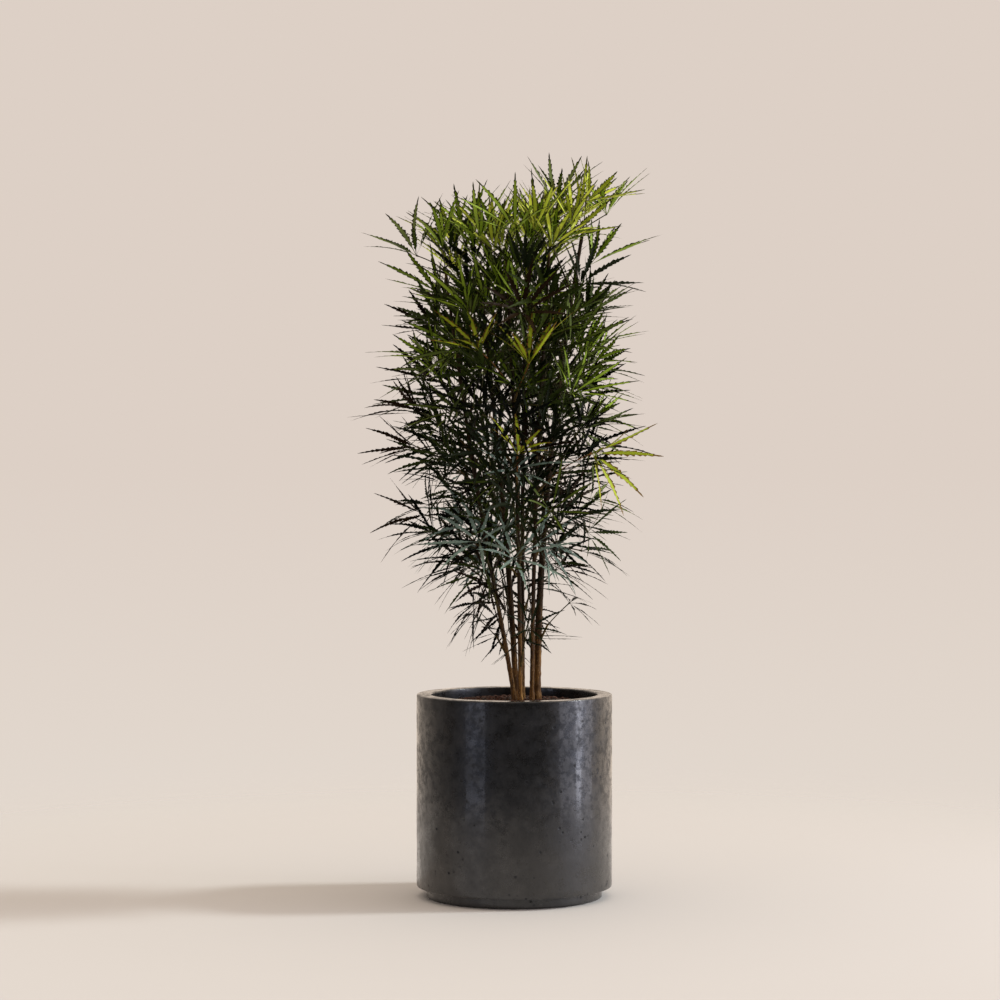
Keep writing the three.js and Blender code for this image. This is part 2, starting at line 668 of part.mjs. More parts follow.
function tuftShoot(cane, i) {
  const seed = TUFT_SEED + SEED_STEP * i;
  const chance = seededChance(seed);
  const tip = canePoint(cane, cane.height);
  const ahead = tip.clone().sub(canePoint(cane, cane.height - TUFT_STEM)).normalize();
  const root = tip.clone().addScaledVector(ahead, CLEARANCE);
  const fork = tip.clone().addScaledVector(ahead, TUFT_STEM);
  const hubs = Array.from({ length: TUFT_LEAVES }, (_, k) => {
    const azimuth = i + (k / TUFT_LEAVES) * 2 * Math.PI + scatter(chance, TUFT_SCATTER.turn);
    const lift = lerp(...TUFT_LIFT, chance());
    const reach = TUFT_REACH * (1 + scatter(chance, TUFT_SCATTER.reach));
    return new THREE.Vector3(reach, 0, lift).applyAxisAngle(UP, azimuth).add(fork);
  });
  const ways = [{ cane, root, rootPlane: ahead, fork }];
  return { name: `tuft_${i + 1}`, seed, size: TUFT_SIZE, hubs, ways };
}

function singleShoot(place, i) {
  const hubs = [new THREE.Vector3(...place.hub)];
  return { ...place, seed: SINGLE_SEED + SEED_STEP * i, hubs, ways: sideWays(hubs) };
}

// The pieces in their order

const plant = new THREE.Group();

function addPiece(name, geometry, finish) {
  const mesh = new THREE.Mesh(geometry, new THREE.MeshStandardMaterial(finish));
  mesh.name = name;
  plant.add(mesh);
}

addPiece("pot", potGeometry(), stone);
addPiece("soil", soilGeometry(), earth);

CANES.forEach((cane, i) => {
  addPiece(`cane_${i + 1}`, caneGeometry(cane), bark);
  const heights = caneHeights(cane);
  heights.slice(1).forEach((height, k) => {
    const from = canePoint(cane, heights[k]);
    const to = canePoint(cane, height);
    const radius = caneRadius(cane, heights[k]) + LEAF_GAP;
    lines.push({ from, to, radius, cane });
    bodies.push(rodBody(from, to, radius));
  });
});

const shoots = [...SINGLE_LEAVES.map(singleShoot), ...CANES.map(tuftShoot), ...tierShoots()];

shoots.filter(growLimbs).forEach((shoot, i) => {
  const solid = massSolid(shoot);
  if (!solid) return;
  const color = shoot.young ? youngGreen : leafGreens[i % leafGreens.length];
  addPiece(shoot.name, geometryOf(solid), { ...leaf, color });
});

export default plant;
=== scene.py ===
import math

import bpy
import numpy as np
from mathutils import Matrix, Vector, noise


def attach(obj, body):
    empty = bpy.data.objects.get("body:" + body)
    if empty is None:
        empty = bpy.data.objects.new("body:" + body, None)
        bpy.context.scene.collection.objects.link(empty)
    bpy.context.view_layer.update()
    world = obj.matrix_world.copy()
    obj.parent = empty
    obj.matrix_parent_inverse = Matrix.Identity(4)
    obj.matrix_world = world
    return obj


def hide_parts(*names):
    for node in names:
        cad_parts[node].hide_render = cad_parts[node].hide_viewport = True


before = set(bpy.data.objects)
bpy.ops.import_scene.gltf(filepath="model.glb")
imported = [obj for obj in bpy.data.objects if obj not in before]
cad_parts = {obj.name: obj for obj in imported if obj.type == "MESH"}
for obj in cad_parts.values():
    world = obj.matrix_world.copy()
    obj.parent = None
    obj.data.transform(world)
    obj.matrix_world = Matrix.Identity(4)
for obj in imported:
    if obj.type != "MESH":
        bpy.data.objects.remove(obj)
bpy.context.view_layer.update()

METRES = 0.001
TURN = 2 * math.pi
UP = np.array([0.0, 0.0, 1.0])
SIDEWAYS = np.array([1.0, 0.0, 0.0])
NEARLY_ZERO = 1e-6

# The camera, where the photograph's own camera stood.
PHOTO_SIDE = 1000
FOCAL_LENGTH_PIXELS = 2743
HORIZON_ROW = 470
SENSOR_MM = 36
EYE = (-0.0219, -4.2, 0.6527)

# The pot.
CLEARANCE = 0.3
POT_RADIUS = 150
POT_HEIGHT = 310
POT_WALL = 22.5
POT_FLOOR = 30
POT_EDGE = 2.5
FOOT_RADIUS = 134.5
FOOT_HEIGHT = 16.5

# The soil.
SOIL_RADIUS = POT_RADIUS - POT_WALL - CLEARANCE
SOIL_EDGE = POT_HEIGHT - 17
SOIL_TOP = POT_HEIGHT - 7
SOIL_FLAT = 58

# The canes: foot and tip in plan, height of the tip, bow of the middle, radius at foot and tip.
CANES = [
    dict(foot=(0, -9), tip=(-104, -22), height=946, bow=(-10, 0), radii=(3.6, 2.1)),
    dict(foot=(3, 9), tip=(-54, 58), height=954, bow=(3, -8), radii=(4.6, 2.4)),
    dict(foot=(9, -22), tip=(-12, -68), height=955, bow=(4, 8), radii=(3.5, 2.1)),
    dict(foot=(13, 22), tip=(18, 70), height=958, bow=(-2, -8), radii=(3.6, 2.1)),
    dict(foot=(27, -11), tip=(52, -56), height=974, bow=(-4, 6), radii=(3.4, 2.1)),
    dict(foot=(35, 7), tip=(104, 22), height=1012, bow=(-12, -4), radii=(5.7, 2.6)),
]
CANE_STEPS = 10
CANE_LEAN_POWER = 1.15
ROOT_FLARE = 1.25
ROOT_FLARE_HEIGHT = 16

# The crown's space.
CROWN_AXIS = np.array([-4.0, 0.0, 0.0])
CROWN_REACH = 216
CROWN_TOP = 1150
CROWN_FOOT = 350
CROWN_SHOULDER = 600
CROWN_TAPER = 275
CROWN_TAPER_POWER = 1.9
LEAST_CROWN_REACH = 28
LEAST_HUB_REACH = 18

# The side shoots, tier by tier.
SHOOTS_IN_TIER = [3, 5, 5, 5, 5, 5, 5]
TIER_LOW = 462
TIER_HIGH = 932
TIER_TILT = 0.16
GOLDEN_ANGLE = math.radians(137.508)
SHOOT_RISES = [58, 40, 78]
CANES_TRIED = 3
FORK_SHARE = 0.3
FORK_LIFT = 6
OUTER_SPREAD = math.radians(20)
OUTER_STEP = 26
OUTER_SHARES = [1, 0.86]
INNER_SHARES = [0.5, 0.16, 0.36]
INNER_LIFTS = [34, 2, 64]
TIER_SCATTER = dict(turn=0.4, height=30)

# The tufts at the canes' tips.
TUFT_LEAVES = 4
TUFT_STEM = 14
TUFT_REACH = 42
TUFT_LIFT = (18, 40)
TUFT_SCATTER = dict(turn=0.5, reach=0.3)

# Stems, stalks and leaves.
STEM_RADIUS = 2.2
STALK_RADIUS = 1
STALK_STEP = 0.14
LEAFLETS = (7, 9)
LEAFLET_LENGTH = 108
LEAFLET_WIDTH = 10
HUB_RADIUS = 5.5
LONG_SIDE = 0.16
LEAF_SCATTER = dict(swing=0.8, rise=30, open=18, size=0.2, turn=0.3, spread=0.2, length=0.12)
LOW_HABIT = (46, 76)
MIDDLE_HABIT = (38, 54)
HIGH_HABIT = (74, 44)
YOUNG_HABIT = (68, 42)
HANGING_HABIT = (-20, 44)
LEVEL_HABIT = (18, 36)
STEEP_HABIT = (84, 42)
LOW_HEIGHTS = (420, 600)
HIGH_HEIGHTS = (620, 1000)
LEAST_FACING = 0.5
TRIES = 30
TRY_TILT = 0.6
TRY_SEED = 7919
ROOM = 3.4
NEIGHBOURHOOD = 135
OUTSIDE_COST = 2
LEAF_GAP = 0.4

# Leaves with places of their own. A leaf's seed follows from its row, so new rows come last.
YOUNG = dict(young=True)
STRAY = dict(stray=True, held=LEVEL_HABIT)
SINGLE_LEAVES = [
    dict(name="young_leaf_left", hub=(-51, -118, 828), size=0.9, **YOUNG),
    dict(name="young_leaf_middle", hub=(21, -124, 810), size=1.05, **YOUNG, held=STEEP_HABIT),
    dict(name="young_leaf_right", hub=(116, -66, 678), size=1.05, **YOUNG, held=HANGING_HABIT),
    dict(name="stray_leaf_upper", hub=(-142, -30, 740), size=0.95, **STRAY),
    dict(name="stray_leaf_lower", hub=(-136, -12, 584), size=0.95, **STRAY),
    dict(name="low_leaf_left", hub=(-62, -14, 432), size=0.66),
    dict(name="low_leaf_right", hub=(84, -22, 450), size=0.72),
    dict(name="low_leaf_front", hub=(22, -52, 412), size=0.6),
    dict(name="low_leaf_back", hub=(26, 66, 436), size=0.66),
    dict(name="young_leaf_lower", hub=(4, -126, 676), size=0.8, **YOUNG),
    dict(name="stray_leaf_middle", hub=(-148, -20, 688), size=0.85, **STRAY),
]

SEED_STEP = 10
TIER_SEED = 1000
SINGLE_SEED = 8000
TUFT_SEED = 9000

# The finer twigs, which only the visual model has: more leaves on each shoot.
FINE_SEED = 20000
FINE_SEED_STEP = 100
FINE_LEAVES = 15
FINE_TRIES = 14
FINE_MOST_CROWDED = 30
FINE_CEILING = 905
FINE_LOW_HEIGHTS = (600, 900)
FINE_LOW_SHARE = 0.35
FINE_FORKS = (0.15, 0.6)
FINE_SHARES = (0.25, 1.02)
FINE_HEIGHTS = 180
FINE_SPREAD = math.radians(78)
FINE_SIZE = 0.94
FINE_STALK_RADIUS = 0.7
FINE_STALK_CLEAR = 5


def seeded_chance(seed):
    """A repeatable stream of numbers from 0 to 1, the same as the solids' own."""
    state = seed
    whole = 0xFFFFFFFF

    def draw():
        nonlocal state
        state = (state + 0x6D2B79F5) & whole
        t = state
        t = ((t ^ (t >> 15)) * (t | 1)) & whole
        t ^= (t + (((t ^ (t >> 7)) * (t | 61)) & whole)) & whole
        return ((t ^ (t >> 14)) & whole) / 2**32

    return draw


def scatter(chance, spread):
    return (chance() - 0.5) * spread


def lerp(a, b, t):
    return (1 - t) * a + t * b


def smoothstep(x, low, high):
    t = min(max((x - low) / (high - low), 0), 1)
    return t * t * (3 - 2 * t)


def unit(v):
    return v / np.linalg.norm(v, axis=-1, keepdims=True)


def compass(angle):
    """The level direction at this angle."""
    return np.array([math.cos(angle), math.sin(angle), 0])


def flattened(direction, normal):
    """The direction without its part along the normal."""
    return unit(direction - normal * direction.dot(normal))


def turned_about(v, axis, angle):
    c, s = math.cos(angle), math.sin(angle)
    return v * c + np.cross(axis, v) * s + axis * (axis.dot(v) * (1 - c))


# The canes' lines


def cane_point(cane, height):
    u = (height - SOIL_TOP) / (cane["height"] - SOIL_TOP)
    bend = math.sin(math.pi * u)
    lean = u**CANE_LEAN_POWER
    x, y = (lerp(cane["foot"][i], cane["tip"][i], lean) + cane["bow"][i] * bend for i in (0, 1))
    return np.array([x, y, height])


def cane_radius(cane, height):
    u = (height - SOIL_TOP) / (cane["height"] - SOIL_TOP)
    flare = lerp(ROOT_FLARE, 1, smoothstep(height - SOIL_TOP, 0, ROOT_FLARE_HEIGHT))
    return lerp(*cane["radii"], u) * flare


# Room between the centre lines of limbs and leaflets

lines = {"ends": [], "radius": [], "cane": [], "limb": []}


def add_line(start, end, radius, cane=None, limb=True):
    lines["ends"].append((start, end))
    lines["radius"].append(radius)
    lines["cane"].append(cane)
    lines["limb"].append(limb)


def lines_so_far():
    return np.array(lines["ends"]), np.array(lines["radius"])


def gaps_between(a, b):
    """Least distances between segments, given by their ends."""
    u, v, w = a[..., 1, :] - a[..., 0, :], b[..., 1, :] - b[..., 0, :], a[..., 0, :] - b[..., 0, :]
    uu, vv, uv = (u * u).sum(-1), (v * v).sum(-1), (u * v).sum(-1)
    uw, vw = (u * w).sum(-1), (v * w).sum(-1)
    s = np.clip((uv * vw - uw * vv) / np.maximum(uu * vv - uv * uv, NEARLY_ZERO), 0, 1)
    t = np.clip((uv * s + vw) / vv, 0, 1)
    s = np.clip((uv * t - uw) / uu, 0, 1)
    return np.linalg.norm(w + u * s[..., None] - v * t[..., None], axis=-1)


def crowding(start, end, radius, ends, radii):
    """Whether any of the lines comes too close to the new one."""
    return (gaps_between(np.array([[start, end]]), ends) < radius + radii).any()


# The crown's space


def crown_reach(height):
    below = max(0, CROWN_SHOULDER - height) / CROWN_TAPER
    return CROWN_REACH * max(0, 1 - below**CROWN_TAPER_POWER)


def inside_crown(point, stray):
    if not CROWN_FOOT <= point[2] <= CROWN_TOP:
        return False
    reach = math.hypot(point[0] - CROWN_AXIS[0], point[1] - CROWN_AXIS[1])
    return stray or reach < crown_reach(point[2]) + LEAST_CROWN_REACH


def crown_point(azimuth, share, height):
    reach = max(0, crown_reach(height) - LEAFLET_LENGTH) * share + LEAST_HUB_REACH
    return CROWN_AXIS + reach * compass(azimuth) + UP * height


# Leaves


def leaf_habit(height, young):
    """The rise of a leaf's axis and the opening of its leaflets, in degrees."""
    if young:
        return YOUNG_HABIT
    low = 1 - smoothstep(height, *LOW_HEIGHTS)
    high = smoothstep(height, *HIGH_HEIGHTS)
    return [
        lerp(lerp(middle, top, high), bottom, low)
        for middle, top, bottom in zip(MIDDLE_HABIT, HIGH_HABIT, LOW_HABIT)
    ]


def new_leaf(start, hub, seed, shoot):
    chance = seeded_chance(seed)
    size = shoot["size"]
    rise, opening = shoot.get("held") or leaf_habit(hub[2], shoot.get("young"))
    rise = math.radians(rise + scatter(chance, LEAF_SCATTER["rise"]))
    opening = math.radians(opening + scatter(chance, LEAF_SCATTER["open"]))
    facing = flattened(hub - CROWN_AXIS, UP)
    facing = turned_about(facing, UP, scatter(chance, LEAF_SCATTER["swing"]))
    axis = facing * math.cos(rise) + UP * math.sin(rise)
    ahead = unit(hub - start)
    axis = unit(axis + ahead * max(0, LEAST_FACING - axis.dot(ahead)))
    spin = chance() * TURN
    length = LEAFLET_LENGTH * size * (1 + scatter(chance, LEAF_SCATTER["size"]))
    count = LEAFLETS[0] + math.floor(chance() * (LEAFLETS[1] - LEAFLETS[0] + 1))
    turns, opens, lengths = [], [], []
    for i in range(count):
        around = (i + scatter(chance, LEAF_SCATTER["turn"])) / count * TURN
        long_side = 1 - LONG_SIDE * (1 - math.cos(around))
        turns.append(spin + around)
        opens.append(opening * (1 + scatter(chance, LEAF_SCATTER["spread"])))
        lengths.append(length * long_side * (1 + scatter(chance, LEAF_SCATTER["length"])))
    return dict(
        hub=hub,
        start=start,
        axis=axis,
        turns=np.array(turns),
        opens=np.array(opens),
        lengths=np.array(lengths),
        stray=shoot.get("stray", False),
        young=shoot.get("young", False),
        width=LEAFLET_WIDTH * math.sqrt(size),
        seed=seed,
        node=shoot["name"],
    )


def leaflet_frames(leaf):
    """Each leaflet's directions, from the hub outwards, across it and over it."""
    axis = leaf["axis"]
    side = flattened(SIDEWAYS, axis)
    cos, sin = np.cos(leaf["turns"])[:, None], np.sin(leaf["turns"])[:, None]
    out = side * cos + np.cross(axis, side) * sin
    across = np.cross(axis, out)
    along = axis * np.cos(leaf["opens"])[:, None] + out * np.sin(leaf["opens"])[:, None]
    return along, across, np.cross(along, across)


def fitted_leaf(leaf, tries=TRIES):
    """The leaf turned to where its leaflets have most room."""
    chance = seeded_chance(leaf["seed"] + TRY_SEED)
    ends, radii = lines_so_far()
    near = gaps_between(ends, np.array([[leaf["hub"], leaf["hub"] + UP]])) < NEIGHBOURHOOD
    ends, radii = ends[near], radii[near]
    side = unit(np.array([-leaf["axis"][1], leaf["axis"][0], 0]))
    best = None
    for _ in range(tries):
        turn = chance() * TURN
        tilt = scatter(chance, TRY_TILT)
        axis = turned_about(leaf["axis"], side, tilt)
        tried = {**leaf, "axis": axis, "turns": leaf["turns"] + turn}
        along, _, _ = leaflet_frames(tried)
        tips = tried["hub"] + along * tried["lengths"][:, None]
        own = np.stack([tried["hub"] + along * HUB_RADIUS, tips], axis=1)
        outside = sum(not inside_crown(tip, leaf["stray"]) for tip in tips)
        close = gaps_between(own[:, None], ends[None]) < ROOM + radii
        cost = int(close.sum()) + OUTSIDE_COST * outside
        if best is None or cost < best["cost"]:
            best = {**tried, "cost": cost, "lines": own}
        if cost == 0:
            break
    return best


def placed(leaf):
    """The leaf, whose leaflets now take up room."""
    for start, end in leaf["lines"]:
        add_line(start, end, ROOM, limb=False)
    return leaf


# Shoots


def side_way(cane, height, middle):
    heart = cane_point(cane, height)
    ahead = unit(cane_point(cane, height + 1) - heart)
    plane = flattened(middle - heart, ahead)
    fork = lerp(heart, middle, FORK_SHARE) + UP * FORK_LIFT
    root = heart + plane * (cane_radius(cane, height) + CLEARANCE)
    return dict(cane=cane, root=root, plane=plane, fork=fork)


def side_ways(hubs):
    """The ways in which a shoot can leave the side of one of the nearest canes to its hubs."""
    middle = sum(hubs) / len(hubs)
    ways = []
    for rise in SHOOT_RISES:
        heights = [min(middle[2] - rise, cane["height"] - TUFT_STEM) for cane in CANES]
        points = [cane_point(cane, height) for cane, height in zip(CANES, heights)]
        nearest = sorted(range(len(CANES)), key=lambda i: np.linalg.norm(points[i] - middle))
        ways += [side_way(CANES[i], heights[i], middle) for i in nearest[:CANES_TRIED]]
    return ways


def grow_limbs(shoot):
    """The stem and stalks, by the way that leaves most stalks clear of what is in place."""
    shoot["stalks"] = []
    ends, radii = lines_so_far()
    for way in shoot["ways"]:
        others = np.array([cane is not way["cane"] for cane in lines["cane"]])
        radius = STEM_RADIUS + LEAF_GAP
        if crowding(way["root"], way["fork"], radius, ends[others], radii[others]):
            continue
        radius = STALK_RADIUS + LEAF_GAP
        stalks = [
            {"hub": hub, "seed": shoot["seed"] + i}
            for i, hub in enumerate(shoot["hubs"])
            if not crowding(way["fork"], hub, radius, ends, radii)
        ]
        if len(stalks) > len(shoot["stalks"]):
            shoot.update(way, stalks=stalks)
    if not shoot["stalks"]:
        return False
    add_line(shoot["root"], shoot["fork"], STEM_RADIUS + LEAF_GAP)
    for i, stalk in enumerate(shoot["stalks"]):
        stalk["start"] = lerp(shoot["fork"], shoot["root"], i * STALK_STEP)
        add_line(stalk["start"], stalk["hub"], STALK_RADIUS + LEAF_GAP)
    return True


def tier_shoots():
    top = len(SHOOTS_IN_TIER) - 1
    made = []
    for tier, count in enumerate(SHOOTS_IN_TIER):
        for k in range(count):
            seed = TIER_SEED * (tier + 1) + SEED_STEP * k
            chance = seeded_chance(seed)
            turn = (k + scatter(chance, TIER_SCATTER["turn"])) / count
            azimuth = tier * GOLDEN_ANGLE + turn * TURN
            level = lerp(TIER_LOW, TIER_HIGH, tier / top) + scatter(chance, TIER_SCATTER["height"])
            height = level + TIER_TILT * tier / top * crown_point(azimuth, 1, level)[0]
            step = OUTER_STEP * (1 if chance() < 0.5 else -1)
            hubs = [
                crown_point(azimuth - OUTER_SPREAD, OUTER_SHARES[0], height + step),
                crown_point(azimuth + OUTER_SPREAD, OUTER_SHARES[1], height - step),
            ]
            for share, lift in zip(INNER_SHARES, INNER_LIFTS):
                swing = scatter(chance, 2 * OUTER_SPREAD)
                hubs.append(crown_point(azimuth + swing, share, height + lift))
            name = f"foliage_{tier + 1}_{k + 1}"
            shoot = dict(name=name, seed=seed, size=1, hubs=hubs, ways=side_ways(hubs))
            made.append(dict(shoot, azimuth=azimuth, level=height))
    return made


def tuft_shoot(cane, i):
    seed = TUFT_SEED + SEED_STEP * i
    chance = seeded_chance(seed)
    tip = cane_point(cane, cane["height"])
    ahead = unit(tip - cane_point(cane, cane["height"] - TUFT_STEM))
    fork = tip + ahead * TUFT_STEM
    hubs = []
    for k in range(TUFT_LEAVES):
        azimuth = i + k / TUFT_LEAVES * TURN + scatter(chance, TUFT_SCATTER["turn"])
        lift = lerp(*TUFT_LIFT, chance())
        reach = TUFT_REACH * (1 + scatter(chance, TUFT_SCATTER["reach"]))
        hubs.append(fork + reach * compass(azimuth) + UP * lift)
    way = dict(cane=cane, root=tip + ahead * CLEARANCE, plane=ahead, fork=fork)
    return dict(name=f"tuft_{i + 1}", seed=seed, size=1, hubs=hubs, ways=[way])


def single_shoot(place, i):
    hubs = [np.array(place["hub"], float)]
    return {**place, "seed": SINGLE_SEED + SEED_STEP * i, "hubs": hubs, "ways": side_ways(hubs)}


for cane in CANES:
    base = SOIL_TOP + ROOT_FLARE_HEIGHT
    heights = [SOIL_TOP + CLEARANCE, base]
    heights += [lerp(base, cane["height"], (i + 1) / CANE_STEPS) for i in range(CANE_STEPS)]
    for low, high in zip(heights, heights[1:]):
        radius = cane_radius(cane, low) + LEAF_GAP
        add_line(cane_point(cane, low), cane_point(cane, high), radius, cane)

shoots = [single_shoot(place, i) for i, place in enumerate(SINGLE_LEAVES)]
shoots += [tuft_shoot(cane, i) for i, cane in enumerate(CANES)] + tier_shoots()
shoots = [shoot for shoot in shoots if grow_limbs(shoot)]

leaves = []
for shoot in shoots:
    for stalk in shoot["stalks"]:
        leaves.append(placed(fitted_leaf(new_leaf(shoot=shoot, **stalk))))


def grow_fine_leaf(shoot, i, k):
    """One more leaf on a finer twig from one of the shoot's stalks, where there is room."""
    seed = FINE_SEED + FINE_SEED_STEP * i + k
    chance = seeded_chance(seed)
    stalk = shoot["stalks"][k % len(shoot["stalks"])]
    start = lerp(stalk["start"], stalk["hub"], lerp(*FINE_FORKS, chance()))
    azimuth = shoot["azimuth"] + scatter(chance, FINE_SPREAD)
    height = shoot["level"] + scatter(chance, FINE_HEIGHTS)
    hub = crown_point(azimuth, lerp(*FINE_SHARES, chance()), height)
    share = lerp(FINE_LOW_SHARE, 1, smoothstep(height, *FINE_LOW_HEIGHTS))
    if height > FINE_CEILING or chance() > share:
        return None
    ends, radii = lines_so_far()
    limbs = np.array(lines["limb"])
    clear = start + unit(hub - start) * FINE_STALK_CLEAR
    if crowding(clear, hub, FINE_STALK_RADIUS, ends[limbs], radii[limbs]):
        return None
    leaf = fitted_leaf(new_leaf(start, hub, seed, {**shoot, "size": FINE_SIZE}), FINE_TRIES)
    if leaf["cost"] > FINE_MOST_CROWDED:
        return None
    add_line(start, hub, FINE_STALK_RADIUS)
    return placed(leaf)


for i, shoot in enumerate(shoots):
    if "azimuth" in shoot:
        grown = [grow_fine_leaf(shoot, i, k) for k in range(FINE_LEAVES)]
        leaves += [leaf for leaf in grown if leaf]


# Meshes from arrays

# A tube whose run is steeper than this has its first side level.
STEEP = 0.8


def mesh_object(name, points, faces, material, smooth=True):
    """An object in metres from points in millimetres and arrays of faces with any number of sides."""
    points = np.asarray(points, float).reshape(-1, 3) * METRES
    faces = [np.asarray(f, int).reshape(-1, np.shape(f)[-1]) for f in faces if len(f)]
    corners = np.concatenate([f.ravel() for f in faces])
    sizes = np.concatenate([np.full(len(f), f.shape[1]) for f in faces])
    mesh = bpy.data.meshes.new(name)
    mesh.vertices.add(len(points))
    mesh.vertices.foreach_set("co", points.ravel())
    mesh.loops.add(len(corners))
    mesh.loops.foreach_set("vertex_index", corners)
    mesh.polygons.add(len(sizes))
    mesh.polygons.foreach_set("loop_start", np.concatenate([[0], np.cumsum(sizes)[:-1]]))
    mesh.polygons.foreach_set("use_smooth", np.full(len(sizes), smooth))
    mesh.update(calc_edges=True)
    mesh.validate()
    mesh.materials.append(material)
    made = bpy.data.objects.new(name, mesh)
    bpy.context.scene.collection.objects.link(made)
    return made


def grid_faces(rows, columns, closed=False):
    """The quads of a sheet of points, or of a tube where each row closes on itself."""
    row, column = np.meshgrid(np.arange(rows - 1), np.arange(columns if closed else columns - 1))
    row, column = row.ravel(), column.ravel()
    after = (column + 1) % columns
    here, there = row * columns, (row + 1) * columns
    return np.stack([here + column, here + after, there + after, there + column], axis=1)


def repeated(faces, copies, points_each):
    """The faces of many like pieces, one after another."""
    steps = np.arange(copies) * points_each
    return (faces[None] + steps[:, None, None]).reshape(-1, faces.shape[1])


def tube_faces(rings, sides):
    """The walls and both ends of a closed tube."""
    side = np.arange(sides)[None]
    return [grid_faces(rings, sides, closed=True), side[:, ::-1], side + (rings - 1) * sides]


def tubes(name, centres, radii, sides, material):
    """Closed round tubes along lines of points: centres is (tubes, rings, 3)."""
    count, rings, _ = centres.shape
    ahead = unit(np.gradient(centres, axis=1))
    chord = unit(centres[:, -1] - centres[:, 0])
    helper = np.where(np.abs(chord[:, 2:]) < STEEP, UP, SIDEWAYS)
    side = helper[:, None]
    side = unit(side - ahead * (side * ahead).sum(-1, keepdims=True))
    over = np.cross(ahead, side)
    angle = np.arange(sides) / sides * TURN
    ring = side[:, :, None] * np.cos(angle)[:, None] + over[:, :, None] * np.sin(angle)[:, None]
    points = centres[:, :, None] + ring * radii[..., None, None]
    faces = [repeated(f, count, rings * sides) for f in tube_faces(rings, sides)]
    return mesh_object(name, points, faces, material)


# Materials


def linear(colour):
    """A colour written as 0xRRGGBB, in the renderer's linear values."""
    parts = [(colour >> shift & 255) / 255 for shift in (16, 8, 0)]
    return [p / 12.92 if p <= 0.04045 else ((p + 0.055) / 1.055) ** 2.4 for p in parts] + [1]


class NodeTree:
    """The nodes of a material or of the world, with short ways to add to them."""

    def __init__(self, owner):
        owner.use_nodes = True
        self.nodes = owner.node_tree.nodes
        self.links = owner.node_tree.links

    def node(self, kind, settings=None, **inputs):
        made = self.nodes.new(kind)
        for key, value in (settings or {}).items():
            setattr(made, key, value)
        for key, value in inputs.items():
            self.set(made.inputs[key.replace("_", " ")], value)
        return made

    def set(self, socket, value):
        if isinstance(value, bpy.types.NodeSocket):
            self.links.new(value, socket)
        else:
            socket.default_value = value

    def ranged(self, value, low, high, to_low, to_high, curve="SMOOTHSTEP"):
        made = self.node("ShaderNodeMapRange", {"interpolation_type": curve})
        for socket, number in zip(made.inputs, (value, low, high, to_low, to_high)):
            self.set(socket, number)
        return made.outputs["Result"]

    def mixed(self, factor, a, b):
        """Two colours mixed, which are the mix node's sockets 6 and 7."""
        made = self.node("ShaderNodeMix", {"data_type": "RGBA"})
        self.set(made.inputs["Factor"], factor)
        self.set(made.inputs[6], a)
        self.set(made.inputs[7], b)
        return made.outputs[2]


class Material(NodeTree):
    """A procedural material: a principled shader and the textures that drive it."""

    def __init__(self, name, **values):
        self.material = bpy.data.materials.new(name)
        super().__init__(self.material)
        self.shader = self.nodes["Principled BSDF"]
        for socket, value in values.items():
            self.shader.inputs[socket.replace("_", " ")].default_value = value
        self.place = self.node("ShaderNodeTexCoord").outputs["Object"]

    def height(self):
        return self.node("ShaderNodeSeparateXYZ", Vector=self.place).outputs["Z"]

    def stretched(self, scale):
        return self.node("ShaderNodeMapping", Vector=self.place, Scale=scale).outputs["Vector"]

    def noise(self, scale, detail=2, roughness=0.5, vector=None):
        values = dict(Vector=vector or self.place, Scale=scale, Detail=detail, Roughness=roughness)
        return self.node("ShaderNodeTexNoise", **values).outputs["Fac"]

    def cells(self, scale, vector=None):
        made = self.node("ShaderNodeTexVoronoi", Vector=vector or self.place, Scale=scale)
        return made.outputs["Distance"]

    def ramp(self, value, stops):
        made = self.node("ShaderNodeValToRGB", Fac=value)
        elements = made.color_ramp.elements
        while len(elements) < len(stops):
            elements.new(1)
        for element, (position, colour) in zip(elements, stops):
            element.position = position
            element.color = linear(colour)
        return made.outputs["Color"]

    def maths(self, operation, a, b):
        made = self.node("ShaderNodeMath", {"operation": operation})
        self.set(made.inputs[0], a)
        self.set(made.inputs[1], b)
        return made.outputs["Value"]

    def total(self, a, b):
        return self.maths("ADD", a, b)

    def product(self, a, b):
        return self.maths("MULTIPLY", a, b)

    def drive(self, socket, value):
        self.set(self.shader.inputs[socket], value)

    def bump(self, height, distance, strength):
        made = self.node("ShaderNodeBump", Height=height, Distance=distance, Strength=strength)
        self.drive("Normal", made.outputs["Normal"])


# A leaf's tint is dull where no part of it is above this.
DULL_BELOW = 0.06
DULL_SPECULAR = 0.06
WAXY_SPECULAR = 0.2
LEAF_ROUGHNESS = (0.42, 0.6)


def leaf_material(name, colour):
    """Waxy leaf: one plain tint, with fine cross veins and uneven gloss, the darkest the dullest."""
    specular = DULL_SPECULAR if max(linear(colour)[:3]) < DULL_BELOW else WAXY_SPECULAR
    made = Material(name, Base_Color=linear(colour), Specular_IOR_Level=specular)
    made.drive("Roughness", made.ranged(made.noise(180, 3), 0.3, 0.7, *LEAF_ROUGHNESS))
    made.bump(made.noise(420, 3, 0.6), 0.0004, 0.5)
    return made.material


def stalk_material(name, low, high):
    """Petiole or green twig: fine stripes along it and pale specks."""
    made = Material(name, Specular_IOR_Level=0.2)
    shade = made.noise(90, 4, 0.6)
    specks = made.ranged(made.cells(700), 0.12, 0.25, 0.35, 0)
    tone = made.ramp(shade, [(0.35, low), (0.65, high)])
    made.drive("Base Color", made.mixed(specks, tone, linear(0xA08A60)))
    made.drive("Roughness", made.ranged(shade, 0.3, 0.7, 0.4, 0.6))
    made.bump(made.noise(500, 3), 0.0003, 0.6)
    return made.material


